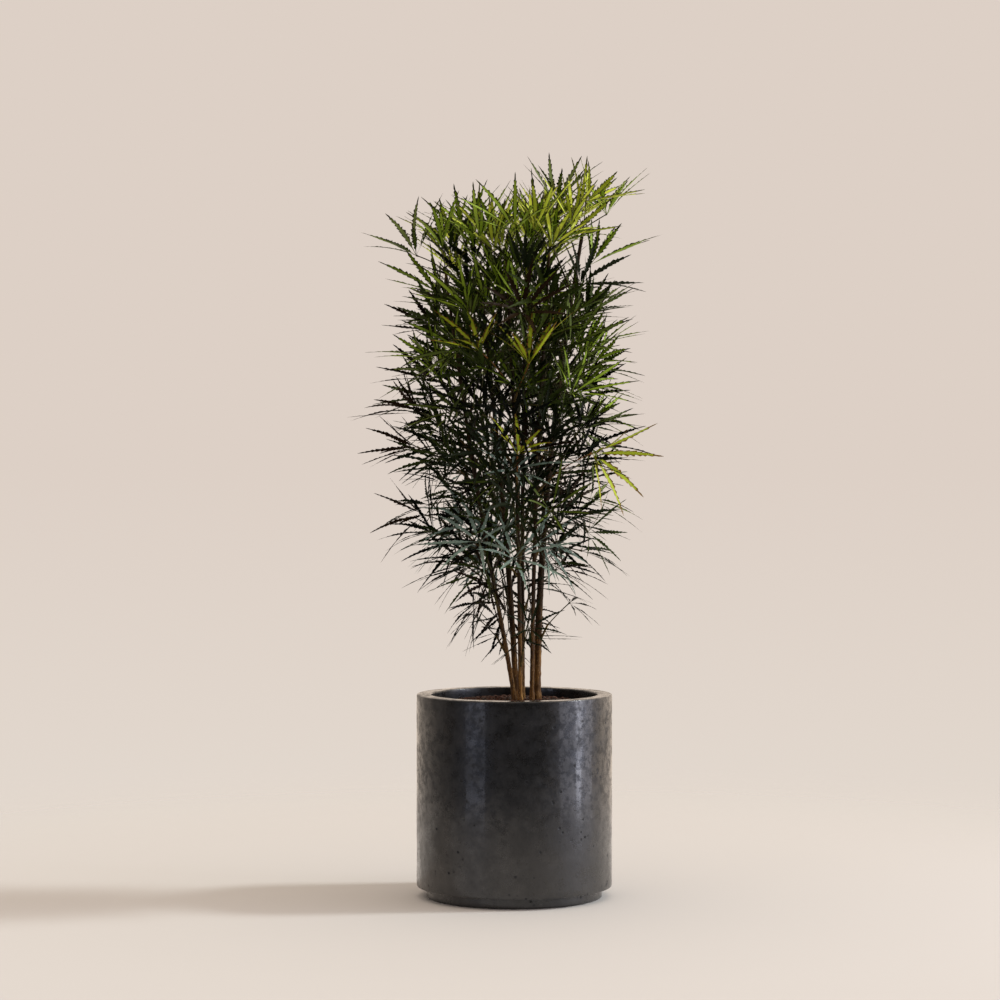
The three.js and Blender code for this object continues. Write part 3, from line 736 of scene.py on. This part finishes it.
def bark_material():
    """Golden-brown bark with painted shade that darkens it inside the crown: streaks along the cane and
    pale raised pores.
    """
    made = Material("cane_bark", Specular_IOR_Level=0.2)
    streaks = made.noise(1, 6, 0.65, made.stretched((420, 420, 26)))
    patches = made.noise(26, 4, 0.6)
    tone = made.ramp(streaks, [(0.28, 0x1E1208), (0.45, 0x583A1C), (0.62, 0x9A723A), (0.8, 0xC8A566)])
    tone = made.mixed(made.ranged(patches, 0.4, 0.62, 0, 0.75), tone, linear(0x46301A))
    pores = made.ranged(made.cells(1, made.stretched((520, 520, 170))), 0.1, 0.24, 0.7, 0)
    tone = made.mixed(pores, tone, linear(0xB79B6C))
    # Painted shade: above the crown's foot the bark turns near-black, standing in for the shade of the
    # leaves over it.
    painted_crown_shade = made.ranged(made.height(), 0.33, 0.46, 0, 0.82)
    made.drive("Base Color", made.mixed(painted_crown_shade, tone, linear(0x1C1208)))
    made.drive("Roughness", made.ranged(streaks, 0.3, 0.7, 0.5, 0.75))
    made.bump(made.total(streaks, pores), 0.0006, 0.8)
    return made.material


def stone_material():
    """Polished cast stone: blue-black with cloudy patches, dull marks and an uneven polish, and a
    painted reflection of the floor that lightens it towards the foot.
    """
    made = Material("planter_stone", Specular_IOR_Level=0.42, Specular_Tint=linear(0xDEE6F6))
    clouds = made.noise(7, 6, 0.62)
    grain = made.noise(46, 8, 0.7)
    both = made.total(made.product(clouds, 0.55), made.product(grain, 0.45))
    tone = made.ramp(both, [(0.3, 0x070708), (0.48, 0x101112), (0.6, 0x1A1A1B), (0.75, 0x302E2D)])
    # Painted reflection: the colour turns lighter grey towards the foot, standing in for the bright
    # floor mirrored there.
    low = made.ranged(made.height(), 0, 0.2, 0.5, 0)
    painted_floor_reflection = made.product(low, made.ranged(clouds, 0.3, 0.6, 0.6, 1))
    tone = made.mixed(painted_floor_reflection, tone, linear(0x42403B))
    marks = made.ranged(made.noise(70, 5, 0.62), 0.6, 0.68, 0, 1)
    marks = made.product(marks, made.ranged(made.noise(12, 5, 0.7), 0.48, 0.6, 0, 1))
    pits = made.maths("MAXIMUM", made.ranged(made.cells(75), 0.1, 0.22, 1, 0), marks)
    pits = made.product(pits, made.ranged(made.noise(16, 5, 0.7), 0.5, 0.62, 0.15, 1))
    made.drive("Base Color", made.mixed(pits, tone, linear(0x060606)))
    polish = made.noise(34, 7, 0.72)
    patches = made.ranged(made.noise(9, 5, 0.7), 0.42, 0.6, 0.85, 0.45)
    dull_foot = made.ranged(made.height(), 0.06, 0.2, 0.75, 0.15)
    specks = made.ranged(made.noise(85, 6, 0.75), 0.45, 0.58, 1, dull_foot)
    unpitted = made.maths("SUBTRACT", 1, pits)
    made.drive("Coat Weight", made.product(made.product(patches, specks), unpitted))
    made.drive("Coat Roughness", made.ranged(polish, 0.4, 0.66, 0.05, 0.22))
    rough = made.ranged(polish, 0.38, 0.62, 0.24, 0.48)
    made.drive("Roughness", made.total(rough, made.product(pits, 0.4)))
    made.bump(made.maths("SUBTRACT", grain, pits), 0.0009, 0.55)
    return made.material


def earth_material(name, dark, light):
    """Moist peat or bark chips."""
    made = Material(name, Specular_IOR_Level=0.3)
    grain = made.noise(160, 8, 0.7)
    made.drive("Base Color", made.ramp(grain, [(0.3, dark), (0.7, light)]))
    made.drive("Roughness", made.ranged(grain, 0.3, 0.7, 0.7, 0.95))
    made.bump(made.noise(420, 6, 0.7), 0.0012, 0.8)
    return made.material


# Leaflets: places along one are shares of its length, and its widest half width counts as 1.

TEETH = 9
BLADE_FOOT = 0.1
BLADE_TEETH = (0.17, 0.95)
BLADE_WIDENS = 0.34
BLADE_NARROWS = 0.44
BLADE_TIP = 0.78
TOOTH_TIP = 0.8
TOOTH_DEPTH = 0.36
TOOTH_DEPTHS = (0.6, 1.4)
TOOTH_SHIFT = 0.3
BLADE_COLUMNS = np.array([-1, -0.64, 0, 0.64, 1])
FOLD = 0.26
BULGE = (0.0, 0.06)
BULGE_POWER = 0.85
SWAY = (-0.03, 0.03)
DROOP = (-0.01, 0.03)
LOW_DROOP = 0.08
DROOP_POWER = 2.6

# In millimetres, apart from the number of waves along a leaflet.
FOOT_HALF_WIDTH = 0.44
TIP_HALF_WIDTH = 0.15
WAVE_HEIGHT = 0.5
WAVES = 2.2

# The share of the solids' width that leaflets have low and high in the crown.
LOW_BLADE_SHARE = 0.51
HIGH_BLADE_SHARE = 0.8
BLADE_SHARE_HEIGHTS = (560, 1040)


def blade_rows():
    """Where the rows of a leaflet lie along it, and -1 at a notch, 1 at a tooth, 0 elsewhere."""
    step = (BLADE_TEETH[1] - BLADE_TEETH[0]) / TEETH
    places, kinds = [0, BLADE_FOOT], [0, 0]
    for i in range(TEETH):
        notch = BLADE_TEETH[0] + i * step
        places += [notch, notch + TOOTH_TIP * step]
        kinds += [-1, 1]
    return np.array(places + [1]), np.array(kinds + [0]), step


def blade_outline(t):
    """Half the width of a leaflet along it, as a share of its widest."""
    rise = np.clip((t - BLADE_FOOT) / BLADE_WIDENS, 0, 1)
    fall = np.clip((t - BLADE_NARROWS) / (1 - BLADE_NARROWS), 0, 1)
    return rise * (2 - rise) * (1 - fall**2)


def blade_width(leaf):
    """The leaflets' width, narrower lower down in the crown."""
    height = smoothstep(leaf["hub"][2], *BLADE_SHARE_HEIGHTS)
    share = HIGH_BLADE_SHARE if leaf["young"] else lerp(LOW_BLADE_SHARE, HIGH_BLADE_SHARE, height)
    return leaf["width"] * share


def leaflet_arrays(group, draw):
    """All leaflets of some leaves as arrays, with the curve of each one."""
    frames = [leaflet_frames(leaf) for leaf in group]
    counts = [len(leaf["lengths"]) for leaf in group]
    arrays = dict(
        hub=np.repeat([leaf["hub"] for leaf in group], counts, axis=0),
        along=np.concatenate([f[0] for f in frames]),
        across=np.concatenate([f[1] for f in frames]),
        above=np.concatenate([f[2] for f in frames]),
        length=np.concatenate([leaf["lengths"] for leaf in group]),
        width=np.repeat([blade_width(leaf) for leaf in group], counts),
        stray=np.repeat([leaf["stray"] for leaf in group], counts),
    )
    tips = arrays["hub"] + arrays["along"] * arrays["length"][:, None]
    kept = np.array([inside_crown(tip, stray) for tip, stray in zip(tips, arrays["stray"])])
    arrays = {key: value[kept] for key, value in arrays.items()}
    count = len(arrays["length"])
    bottom, top = LOW_HEIGHTS[0], HIGH_HEIGHTS[1]
    low = 1 - np.clip((arrays["hub"][:, 2] - bottom) / (top - bottom), 0, 1)
    arrays["bulge"] = draw.uniform(*BULGE, count)
    arrays["sway"] = draw.uniform(*SWAY, count)
    arrays["droop"] = draw.uniform(*DROOP, count) + LOW_DROOP * low
    arrays["wave"] = draw.uniform(0, TURN, count)
    return arrays


def leaflet_curve(a, t):
    """Points on the leaflets' middles; t is (leaflets, points)."""
    bulge = a["bulge"][:, None] * np.sin(math.pi * t**BULGE_POWER)
    sway = a["sway"][:, None] * np.sin(math.pi * t)
    local = a["along"][:, None] * t[..., None] + a["above"][:, None] * bulge[..., None]
    local = local + a["across"][:, None] * sway[..., None]
    local = local - UP * (a["droop"][:, None] * t**DROOP_POWER)[..., None]
    return a["hub"][:, None] + local * a["length"][:, None, None]


def blades(name, group, seed, material, margin_material=None):
    """The leaflets' blades: serrated, folded a little along the middle and gently wavy.

    The margins and tips are a piece of their own where they have a material of their own.
    """
    draw = np.random.RandomState(seed)
    a = leaflet_arrays(group, draw)
    places, kinds, step = blade_rows()
    count, rows, columns = len(a["length"]), len(places), len(BLADE_COLUMNS)
    t = np.broadcast_to(places[:, None], (count, rows, columns)).copy()
    shift = draw.uniform(-TOOTH_SHIFT, TOOTH_SHIFT, (count, rows, columns)) * step
    margin = np.abs(BLADE_COLUMNS) == 1
    t += np.where(margin & (kinds != 0)[:, None], shift, 0)
    depth = kinds[:, None] * TOOTH_DEPTH * draw.uniform(*TOOTH_DEPTHS, (count, rows, columns))
    half = blade_outline(t) * (1 + np.where(margin, depth, 0)) * a["width"][:, None, None] / 2
    half = np.maximum(half, np.where(places == 1, TIP_HALF_WIDTH, FOOT_HALF_WIDTH)[:, None])
    middle = leaflet_curve(a, t.reshape(count, -1)).reshape(count, rows, columns, 3)
    wave = WAVE_HEIGHT * np.sin(TURN * WAVES * t + a["wave"][:, None, None]) * BLADE_COLUMNS
    lift = FOLD * half * BLADE_COLUMNS**2 + wave * np.sin(math.pi * np.clip(t, 0, 1))
    points = middle + a["across"][:, None, None] * (BLADE_COLUMNS * half)[..., None]
    points = points + a["above"][:, None, None] * lift[..., None]
    faces = grid_faces(rows, columns)
    parts = [(name, faces, material)]
    if margin_material:
        row, column = faces[:, 0] // columns, faces[:, 0] % columns
        dark = (column == 0) | (column == columns - 2) | (places[row] > BLADE_TIP)
        parts = [(name, faces[~dark], material), (f"{name}_margins", faces[dark], margin_material)]
    return [mesh_object(n, points, [repeated(f, count, rows * columns)], look) for n, f, look in parts]


# Stalks and stems: a swelling is given by its height and its reach.

TWIG_ROWS = 12
TWIG_SIDES = 7
STALK_PAST_HUB = 0.8
STALK_SAG = (0.0, 0.05)
STALK_BEND = (-0.02, 0.02)
STALK_THICK = 0.85
STALK_FOOT = (0.6, 0.07)
STALK_HEAD = (0.85, 0.03)
STALK_THICKNESSES = (0.9, 1.15)
STEM_SUNK = 2
STEM_TAPER = (0.95, 0.6)
STEM_FOOT = (0.5, 0.1)
KNUCKLE_HEIGHT = 0.12
KNUCKLE_TURNS = 40
KNUCKLE_POWER = 8


def swelling(distance, height, reach):
    return height * np.exp(-((distance / reach) ** 2))


def stalks(name, group, material, seed):
    """The leaves' stalks: gently arched, swollen at the foot and under the leaflets."""
    draw = np.random.RandomState(seed)
    count = len(group)
    start = np.array([leaf["start"] for leaf in group])
    hub = np.array([leaf["hub"] + leaf["axis"] * STALK_PAST_HUB for leaf in group])
    t = np.linspace(0, 1, TWIG_ROWS)
    chord = hub - start
    length = np.linalg.norm(chord, axis=1)[:, None, None]
    sag = UP * draw.uniform(*STALK_SAG, (count, 1, 1)) + draw.uniform(*STALK_BEND, (count, 1, 3))
    centres = start[:, None] + chord[:, None] * t[:, None] + sag * length * np.sin(math.pi * t)[:, None]
    thick = STALK_THICK + swelling(t, *STALK_FOOT) + swelling(1 - t, *STALK_HEAD)
    radii = thick * draw.uniform(*STALK_THICKNESSES, (count, 1))
    return tubes(name, centres, radii, TWIG_SIDES, material)


def stems(name, material):
    """The shoots' stems, from inside their canes to where the first stalk goes on."""
    t = np.linspace(0, 1, TWIG_ROWS)
    start = np.array([shoot["root"] - shoot["plane"] * STEM_SUNK for shoot in shoots])
    end = np.array([shoot["fork"] for shoot in shoots])
    end = end + unit(end - start) * STEM_SUNK
    centres = lerp(start[:, None], end[:, None], t[:, None])
    thick = STEM_RADIUS * lerp(*STEM_TAPER, t) + swelling(t, *STEM_FOOT)
    knuckles = 1 + KNUCKLE_HEIGHT * np.sin(t * KNUCKLE_TURNS) ** KNUCKLE_POWER
    return tubes(name, centres, thick * knuckles, TWIG_SIDES, material)


# Canes: scars, knees and unevenness are shares of the cane's radius.

BARK_SIDES = 20
BARK_STEP = 2
BARK_SUNK = 6
SCAR_STEP = 17
SCAR_SHIFT = 5
SCAR_REACH = 1.4
SCAR_HEIGHT = 0.1
SCAR_RING_HEIGHT = 0.02
SCAR_EDGE = 0.1
KNEE_REACH = 4
KNEE_HEIGHT = 0.05
CANE_SHIFT = 7

# The bark's unevenness: its changes round and along the cane, its height and its own shift.
BARK_GRAINS = [(1.4, 0.03, 0.06, 0), (4, 0.22, 0.05, 3)]


def bark_relief(out, angle, height, index):
    """The share by which the bark stands out from its cane at some place."""
    relief = 1
    for around, along, strength, shift in BARK_GRAINS:
        place = Vector((out.x * around, out.y * around, height * along))
        relief += strength * noise.noise(place + Vector((index * CANE_SHIFT, shift, 0)))
    scar, above = divmod(height + index * SCAR_SHIFT, SCAR_STEP)
    on_scar = math.cos(angle - scar * GOLDEN_ANGLE) > SCAR_EDGE
    across = above - SCAR_STEP / 2
    relief += swelling(across, SCAR_HEIGHT if on_scar else SCAR_RING_HEIGHT, SCAR_REACH)
    return relief + swelling(across, KNEE_HEIGHT, KNEE_REACH)


def bark_cane(cane, index, material):
    """A cane with streaky bark, crescent leaf scars and slight knees, cut flat at both ends."""
    rows = math.ceil((cane["height"] - SOIL_TOP) / BARK_STEP)
    heights = np.linspace(SOIL_TOP - BARK_SUNK, cane["height"], rows)
    points = np.zeros((rows, BARK_SIDES, 3))
    for row, height in enumerate(heights):
        level = max(height, SOIL_TOP)
        centre = cane_point(cane, level)
        radius = cane_radius(cane, level)
        for side in range(BARK_SIDES):
            angle = side / BARK_SIDES * TURN
            out = Vector(compass(angle))
            relief = bark_relief(out, angle, height, index)
            points[row, side] = centre + np.array(out) * radius * relief
        points[row, :, 2] = height
    return mesh_object(f"cane_{index + 1}_bark", points, tube_faces(rows, BARK_SIDES), material)


# The pot and its soil

POT_SIDES = 192
CORNER_STEPS = 5
FOOT_CORNER = 1
WALL_STEP = 8
FLOOR_STEP = 30
STONE_INSET = 0.3

# Layers of unevenness, each with its changes a millimetre and its height.
STONE_LAYERS = [(0.02, 0.35), (0.09, 0.12)]
BED_LAYERS = [(0.11, 1.8), (0.35, 1.3), (0.9, 0.7)]

BED_RADIUS = SOIL_RADIUS - 0.6
BED_LEVELS = (POT_FLOOR + 30, 120, 200, 260)
BED_SUNK = 3
BED_RINGS = 60
BED_INNER_RADIUS = 2
BED_SKIN = 10


def unevenness(place, layers):
    return sum(height * noise.noise(place * often) for often, height in layers)


def rounded(corner, before, after, radius):
    """Points on a rounded corner of a profile."""
    a, b = corner + unit(before - corner) * radius, corner + unit(after - corner) * radius
    ts = np.linspace(0, 1, CORNER_STEPS)[:, None]
    return (1 - ts) ** 2 * a + 2 * ts * (1 - ts) * corner + ts**2 * b


def turned_solid(name, profile, sides, material, relief):
    """A closed solid of revolution whose profile starts and ends on the axis."""
    ring = np.array(profile[1:-1])
    points = np.zeros((len(ring), sides, 3))
    for row, (radius, height) in enumerate(ring):
        for side in range(sides):
            around = compass(side / sides * TURN)
            out, up = relief(Vector(radius * around + UP * height))
            points[row, side] = (radius + out) * around + UP * (height + up)
    faces = grid_faces(len(ring), sides, closed=True)
    ends = np.array([[0, 0, profile[0][1]], [0, 0, profile[-1][1]]])
    first = len(ring) * sides
    side = np.arange(sides)
    after = (side + 1) % sides
    bottom = np.stack([np.full(sides, first), after, side], axis=1)
    last = (len(ring) - 1) * sides
    top = np.stack([last + side, last + after, np.full(sides, first + 1)], axis=1)
    points = np.concatenate([points.reshape(-1, 3), ends])
    return mesh_object(name, points, [faces, bottom, top], material)


def between(start, end, step):
    """Points of a profile between start and end."""
    steps = round(np.linalg.norm(end - start) / step)
    return [start + (end - start) * i / steps for i in range(1, steps)]


def pot_profile():
    inner = POT_RADIUS - POT_WALL
    path = [(0, 0), (FOOT_RADIUS, 0), (FOOT_RADIUS, FOOT_HEIGHT), (POT_RADIUS, FOOT_HEIGHT)]
    path += [(POT_RADIUS, POT_HEIGHT), (inner, POT_HEIGHT), (inner, POT_FLOOR), (0, POT_FLOOR)]
    path = np.array(path, float)
    rounding = [POT_EDGE, FOOT_CORNER] + 4 * [POT_EDGE]
    points = [path[0]]
    for i, radius in enumerate(rounding):
        turn = rounded(path[i + 1], path[i], path[i + 2], radius)
        points += between(points[-1], turn[0], WALL_STEP) + list(turn)
    return points + between(points[-1], path[-1], FLOOR_STEP) + [path[-1]]


def pot_relief(place):
    """Hand-finished stone: a slow unevenness that leaves the foot and the underside true."""
    if place.z < FOOT_HEIGHT - FOOT_CORNER:
        return 0, 0
    return unevenness(place, STONE_LAYERS) - STONE_INSET, 0


def soil_height(radius):
    rise = min(max((SOIL_RADIUS - radius) / (SOIL_RADIUS - SOIL_FLAT), 0), 1)
    return lerp(SOIL_EDGE, SOIL_TOP, math.sin(rise * math.pi / 2)) - BED_SUNK


def soil_profile():
    points = [(0, BED_LEVELS[0])] + [(BED_RADIUS, height) for height in BED_LEVELS]
    radii = np.linspace(BED_RADIUS, BED_INNER_RADIUS, BED_RINGS)
    return points + [(r, soil_height(r)) for r in radii] + [(0, soil_height(0))]


def soil_relief(place):
    """Crumbs over the soil's surface alone."""
    if place.z < SOIL_EDGE - BED_SKIN:
        return 0, 0
    return 0, unevenness(place, BED_LAYERS)


CHIP_RING = 5
CHIP_POINTS = np.array(
    [(1, 0, 0), (0.3, 0.9, 0), (-0.7, 0.6, 0), (-0.9, -0.5, 0), (0.2, -1, 0)]
    + [(0.6, 0.1, 1), (0.1, 0.6, 1), (-0.6, 0.2, 1), (-0.4, -0.5, 1), (0.3, -0.5, 1)]
)
CHIP_MARGIN = 8
CHIP_SIZES = (0.5, 1.3)
CHIP_WIDTHS = (0.4, 0.8)
CHIP_HEIGHTS = (0.3, 0.5)
CHIP_CORNERS = (0.8, 1.2)
CHIP_TILTS = (-0.5, 0.5)


def chips(name, count, size, material, seed):
    """Angular crumbs scattered over the soil, half sunk in it."""
    draw = np.random.RandomState(seed)
    made = []
    for _ in range(count):
        radius = (SOIL_RADIUS - CHIP_MARGIN) * math.sqrt(draw.uniform(0, 1))
        outward = compass(draw.uniform(0, TURN))
        scale = size * draw.uniform(*CHIP_SIZES)
        scale = scale * np.array([1, draw.uniform(*CHIP_WIDTHS), draw.uniform(*CHIP_HEIGHTS)])
        points = CHIP_POINTS * scale * draw.uniform(*CHIP_CORNERS, (len(CHIP_POINTS), 1))
        tilt = turned_about(UP, outward, draw.uniform(*CHIP_TILTS))
        side = flattened(compass(draw.uniform(0, TURN)), tilt)
        over = np.cross(tilt, side)
        centre = radius * outward + UP * soil_height(radius)
        made.append(centre + points @ np.stack([side, over, tilt]))
    points = np.concatenate(made)
    faces = [repeated(f, count, len(CHIP_POINTS)) for f in tube_faces(2, CHIP_RING)]
    return mesh_object(name, points, faces, material, smooth=False)


# The pieces

# The chips: how many, their size, their dark and light tints, and their seed.
CHIPS = dict(
    dark_chip=(900, 4, 0x1A0F0A, 0x3A2418, 11),
    red_chip=(500, 5, 0x321810, 0x52301F, 12),
    tan_chip=(70, 4, 0x5A4028, 0x8C6C48, 13),
)
LEAF_TINTS = dict(bright=0xBECC3C, fresh=0x829E24, olive=0x4E6018, moss=0x2C3812)
LEAF_TINTS.update(deep=0x141C0B, dark=0x080B05, bronze=0x221609, teal=0x768B81)
MARGIN_TINTS = dict(bright=0x50521A, fresh=0x30340E, olive=0x201F0A)
STRAY_TINT = "bronze"

# The shares of the tints among the leaves from each height up. The heights fall to the right.
# The tints are partly the leaves' own greens and bronze and partly painted light and shade: pale tints
# high in the crown, where the light falls, near-black ones low down and inside, where shade falls, and
# a pale teal for the painted sheen of leaves seen face-on.
TINTS_BY_HEIGHT = [
    (1005, dict(bright=0.52, fresh=0.34, olive=0.14)),
    (965, dict(bright=0.45, fresh=0.32, olive=0.2, deep=0.03)),
    (925, dict(bright=0.18, fresh=0.27, olive=0.27, moss=0.16, deep=0.12)),
    (770, dict(fresh=0.2, olive=0.33, moss=0.25, deep=0.12, dark=0.06, bronze=0.04)),
    (650, dict(fresh=0.03, olive=0.16, moss=0.24, deep=0.28, dark=0.2, bronze=0.05, teal=0.04)),
    (565, dict(olive=0.08, moss=0.2, deep=0.3, dark=0.27, bronze=0.06, teal=0.09)),
    (475, dict(moss=0.14, deep=0.22, dark=0.21, bronze=0.08, teal=0.35)),
    (0, dict(moss=0.1, deep=0.25, dark=0.42, bronze=0.23)),
]
# Painted light: leaves to the right count as higher, so they get the lighter tints on the side the key
# light comes from.
LIT_SIDE_TILT = 0.14
TINT_SEED = 577
LEAFLET_SEED = 100
YOUNG_LEAFLET_SEED = 150
STALK_SEED = 31
YOUNG_STALK_SEED = 32


def tint_of(leaf):
    """The tint dealt to an old leaf, by its height, its side and chance: partly painted light and
    shade, lighter where the key light falls and darker where shade falls.
    """
    if leaf["stray"]:
        return STRAY_TINT
    height = leaf["hub"][2] + LIT_SIDE_TILT * leaf["hub"][0]
    shares = next(shares for floor, shares in TINTS_BY_HEIGHT if height >= floor)
    left = seeded_chance(leaf["seed"] + TINT_SEED)()
    for tint, share in shares.items():
        left -= share
        if left <= 0:
            return tint
    return tint


def add(piece, nodes):
    """The piece rides on the plant's one body and stands for these nodes."""
    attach(piece, "root")
    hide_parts(*nodes)


def nodes_of(group):
    return sorted({leaf["node"] for leaf in group})


add(turned_solid("planter", pot_profile(), POT_SIDES, stone_material(), pot_relief), ["pot"])
peat = earth_material("peat", 0x120B07, 0x2E1D14)
add(turned_solid("potting_soil", soil_profile(), POT_SIDES, peat, soil_relief), ["soil"])
for name, (count, size, dark, light, seed) in CHIPS.items():
    add(chips(f"{name}s", count, size, earth_material(name, dark, light), seed), ["soil"])

bark = bark_material()
for index, cane in enumerate(CANES):
    add(bark_cane(cane, index, bark), [f"cane_{index + 1}"])
green_wood = stalk_material("green_wood", 0x3A3018, 0x6A5628)
add(stems("side_stems", green_wood), [shoot["name"] for shoot in shoots])

young = [leaf for leaf in leaves if leaf["young"]]
old = [leaf for leaf in leaves if not leaf["young"]]
for offset, (tint, colour) in enumerate(LEAF_TINTS.items()):
    group = [leaf for leaf in old if tint_of(leaf) == tint]
    looks = [leaf_material(f"leaf_{tint}", colour)]
    if tint in MARGIN_TINTS:
        looks.append(leaf_material(f"margin_{tint}", MARGIN_TINTS[tint]))
    for piece in blades(f"leaflets_{tint}", group, LEAFLET_SEED + offset, *looks):
        add(piece, nodes_of(group))
looks = leaf_material("leaf_young", 0xA6B824), leaf_material("margin_young", 0x7A5E1C)
for piece in blades("leaflets_young", young, YOUNG_LEAFLET_SEED, *looks):
    add(piece, nodes_of(young))
green_stalk = stalk_material("green_stalk", 0x24240F, 0x4A4720)
bronze_stalk = stalk_material("bronze_stalk", 0x7A4A22, 0xA8713A)
add(stalks("leaf_stalks", old, green_stalk, STALK_SEED), nodes_of(old))
add(stalks("young_stalks", young, bronze_stalk, YOUNG_STALK_SEED), nodes_of(young))


# The camera, the floor, the backdrop and the lights

FLOOR_RADIUS = 6000
FLOOR_SIDES = 64
FLOOR_FADES = (0.7, 1.9)

# The room's tones and lights: the directions where they change, and their strengths.
BACKDROP_FALL = -0.14
CEILING_RISE = (0.2, 0.75)
CEILING_LIGHT = 1.5
BRIGHT_SIDE = (0.42, 0.91, 0)
SIDE_FACING = (-0.7, 0.9)
SIDE_LIGHT = (0.08, 1.2)

SUN_STRENGTH = 1.8
SUN_SIZE = math.radians(9)
SUN_RISE = math.radians(40)
SUN_BEHIND = 0.08


def photo_camera():
    data = bpy.data.cameras.new("camera")
    data.sensor_width = SENSOR_MM
    data.lens = FOCAL_LENGTH_PIXELS / PHOTO_SIDE * SENSOR_MM
    camera = bpy.data.objects.new("camera", data)
    camera.location = EYE
    pitch = math.atan((PHOTO_SIDE / 2 - HORIZON_ROW) / FOCAL_LENGTH_PIXELS)
    camera.rotation_euler = (math.pi / 2 - pitch, 0, 0)
    return camera


def floor_disc():
    """A matt floor that fades into the backdrop all round the plant."""
    made = Material("floor", Base_Color=linear(0xC2C2C3), Roughness=0.9, Specular_IOR_Level=0.1)
    reach = made.node("ShaderNodeVectorMath", {"operation": "LENGTH"})
    made.set(reach.inputs[0], made.place)
    made.drive("Alpha", made.ranged(reach.outputs["Value"], *FLOOR_FADES, 1, 0))
    ring = [FLOOR_RADIUS * compass(i / FLOOR_SIDES * TURN) for i in range(FLOOR_SIDES)]
    return mesh_object("floor", ring, [np.arange(FLOOR_SIDES)[None]], made.material)


def room():
    """A plain backdrop for the camera, and for the plant soft light from a side and from above."""
    world = bpy.data.worlds.new("room")
    tree = NodeTree(world)
    direction = tree.node("ShaderNodeTexCoord").outputs["Generated"]
    up = tree.node("ShaderNodeSeparateXYZ", Vector=direction).outputs["Z"]
    tone = tree.ranged(up, 0, BACKDROP_FALL, 0, 1, "LINEAR")
    seen = tree.nodes["Background"]
    tree.set(seen.inputs["Color"], tree.mixed(tone, linear(0xDDD0C6), linear(0xE3D9CF)))
    facing = tree.node("ShaderNodeVectorMath", {"operation": "DOT_PRODUCT"})
    tree.set(facing.inputs[0], direction)
    tree.set(facing.inputs[1], BRIGHT_SIDE)
    side = tree.ranged(facing.outputs["Value"], *SIDE_FACING, *SIDE_LIGHT, "LINEAR")
    ceiling = tree.ranged(up, *CEILING_RISE, 0, 1, "LINEAR")
    strength = tree.node("ShaderNodeMix", Factor=ceiling, A=side, B=CEILING_LIGHT).outputs["Result"]
    lit = tree.node("ShaderNodeBackground", Color=linear(0xE9D7C5), Strength=strength)
    mix = tree.node("ShaderNodeMixShader")
    tree.set(mix.inputs["Fac"], tree.node("ShaderNodeLightPath").outputs["Is Camera Ray"])
    tree.set(mix.inputs[1], lit.outputs["Background"])
    tree.set(mix.inputs[2], seen.outputs["Background"])
    tree.set(tree.nodes["World Output"].inputs["Surface"], mix.outputs["Shader"])
    return world


def lamp(name, kind, energy, colour):
    light = bpy.data.lights.new(name, kind)
    light.energy = energy
    light.color = linear(colour)[:3]
    return light, bpy.data.objects.new(name, light)


def sun():
    light, made = lamp("key", "SUN", SUN_STRENGTH, 0xFCFFFB)
    light.angle = SUN_SIZE
    towards = Vector((math.cos(SUN_RISE), SUN_BEHIND, math.sin(SUN_RISE)))
    made.rotation_euler = towards.to_track_quat("Z", "Y").to_euler()
    return made


def soft_box(name, place, target, width, height, watts, colour):
    light, made = lamp(name, "AREA", watts, colour)
    light.shape = "RECTANGLE"
    light.size, light.size_y = width, height
    made.location = place
    made.rotation_euler = (Vector(target) - Vector(place)).to_track_quat("-Z", "Y").to_euler()
    return made


scene = bpy.context.scene
scene.view_settings.view_transform = "Standard"
scene.world = room()
scene.camera = photo_camera()
lights = [
    sun(),
    soft_box("side", (2.5, -0.48, 0.4), (0, -0.1, 0.4), 0.4, 2.4, 13, 0xEEF0FF),
    soft_box("side_fill", (2.45, -0.6, 0.4), (0, -0.1, 0.4), 2.3, 2.4, 26, 0xF0F0FF),
    soft_box("window", (-1.8, -1.75, 0.2), (0, 0, 0.2), 1.0, 2.2, 6.5, 0xE6EAFF),
]
for made in [scene.camera, *lights]:
    scene.collection.objects.link(made)
floor_disc()
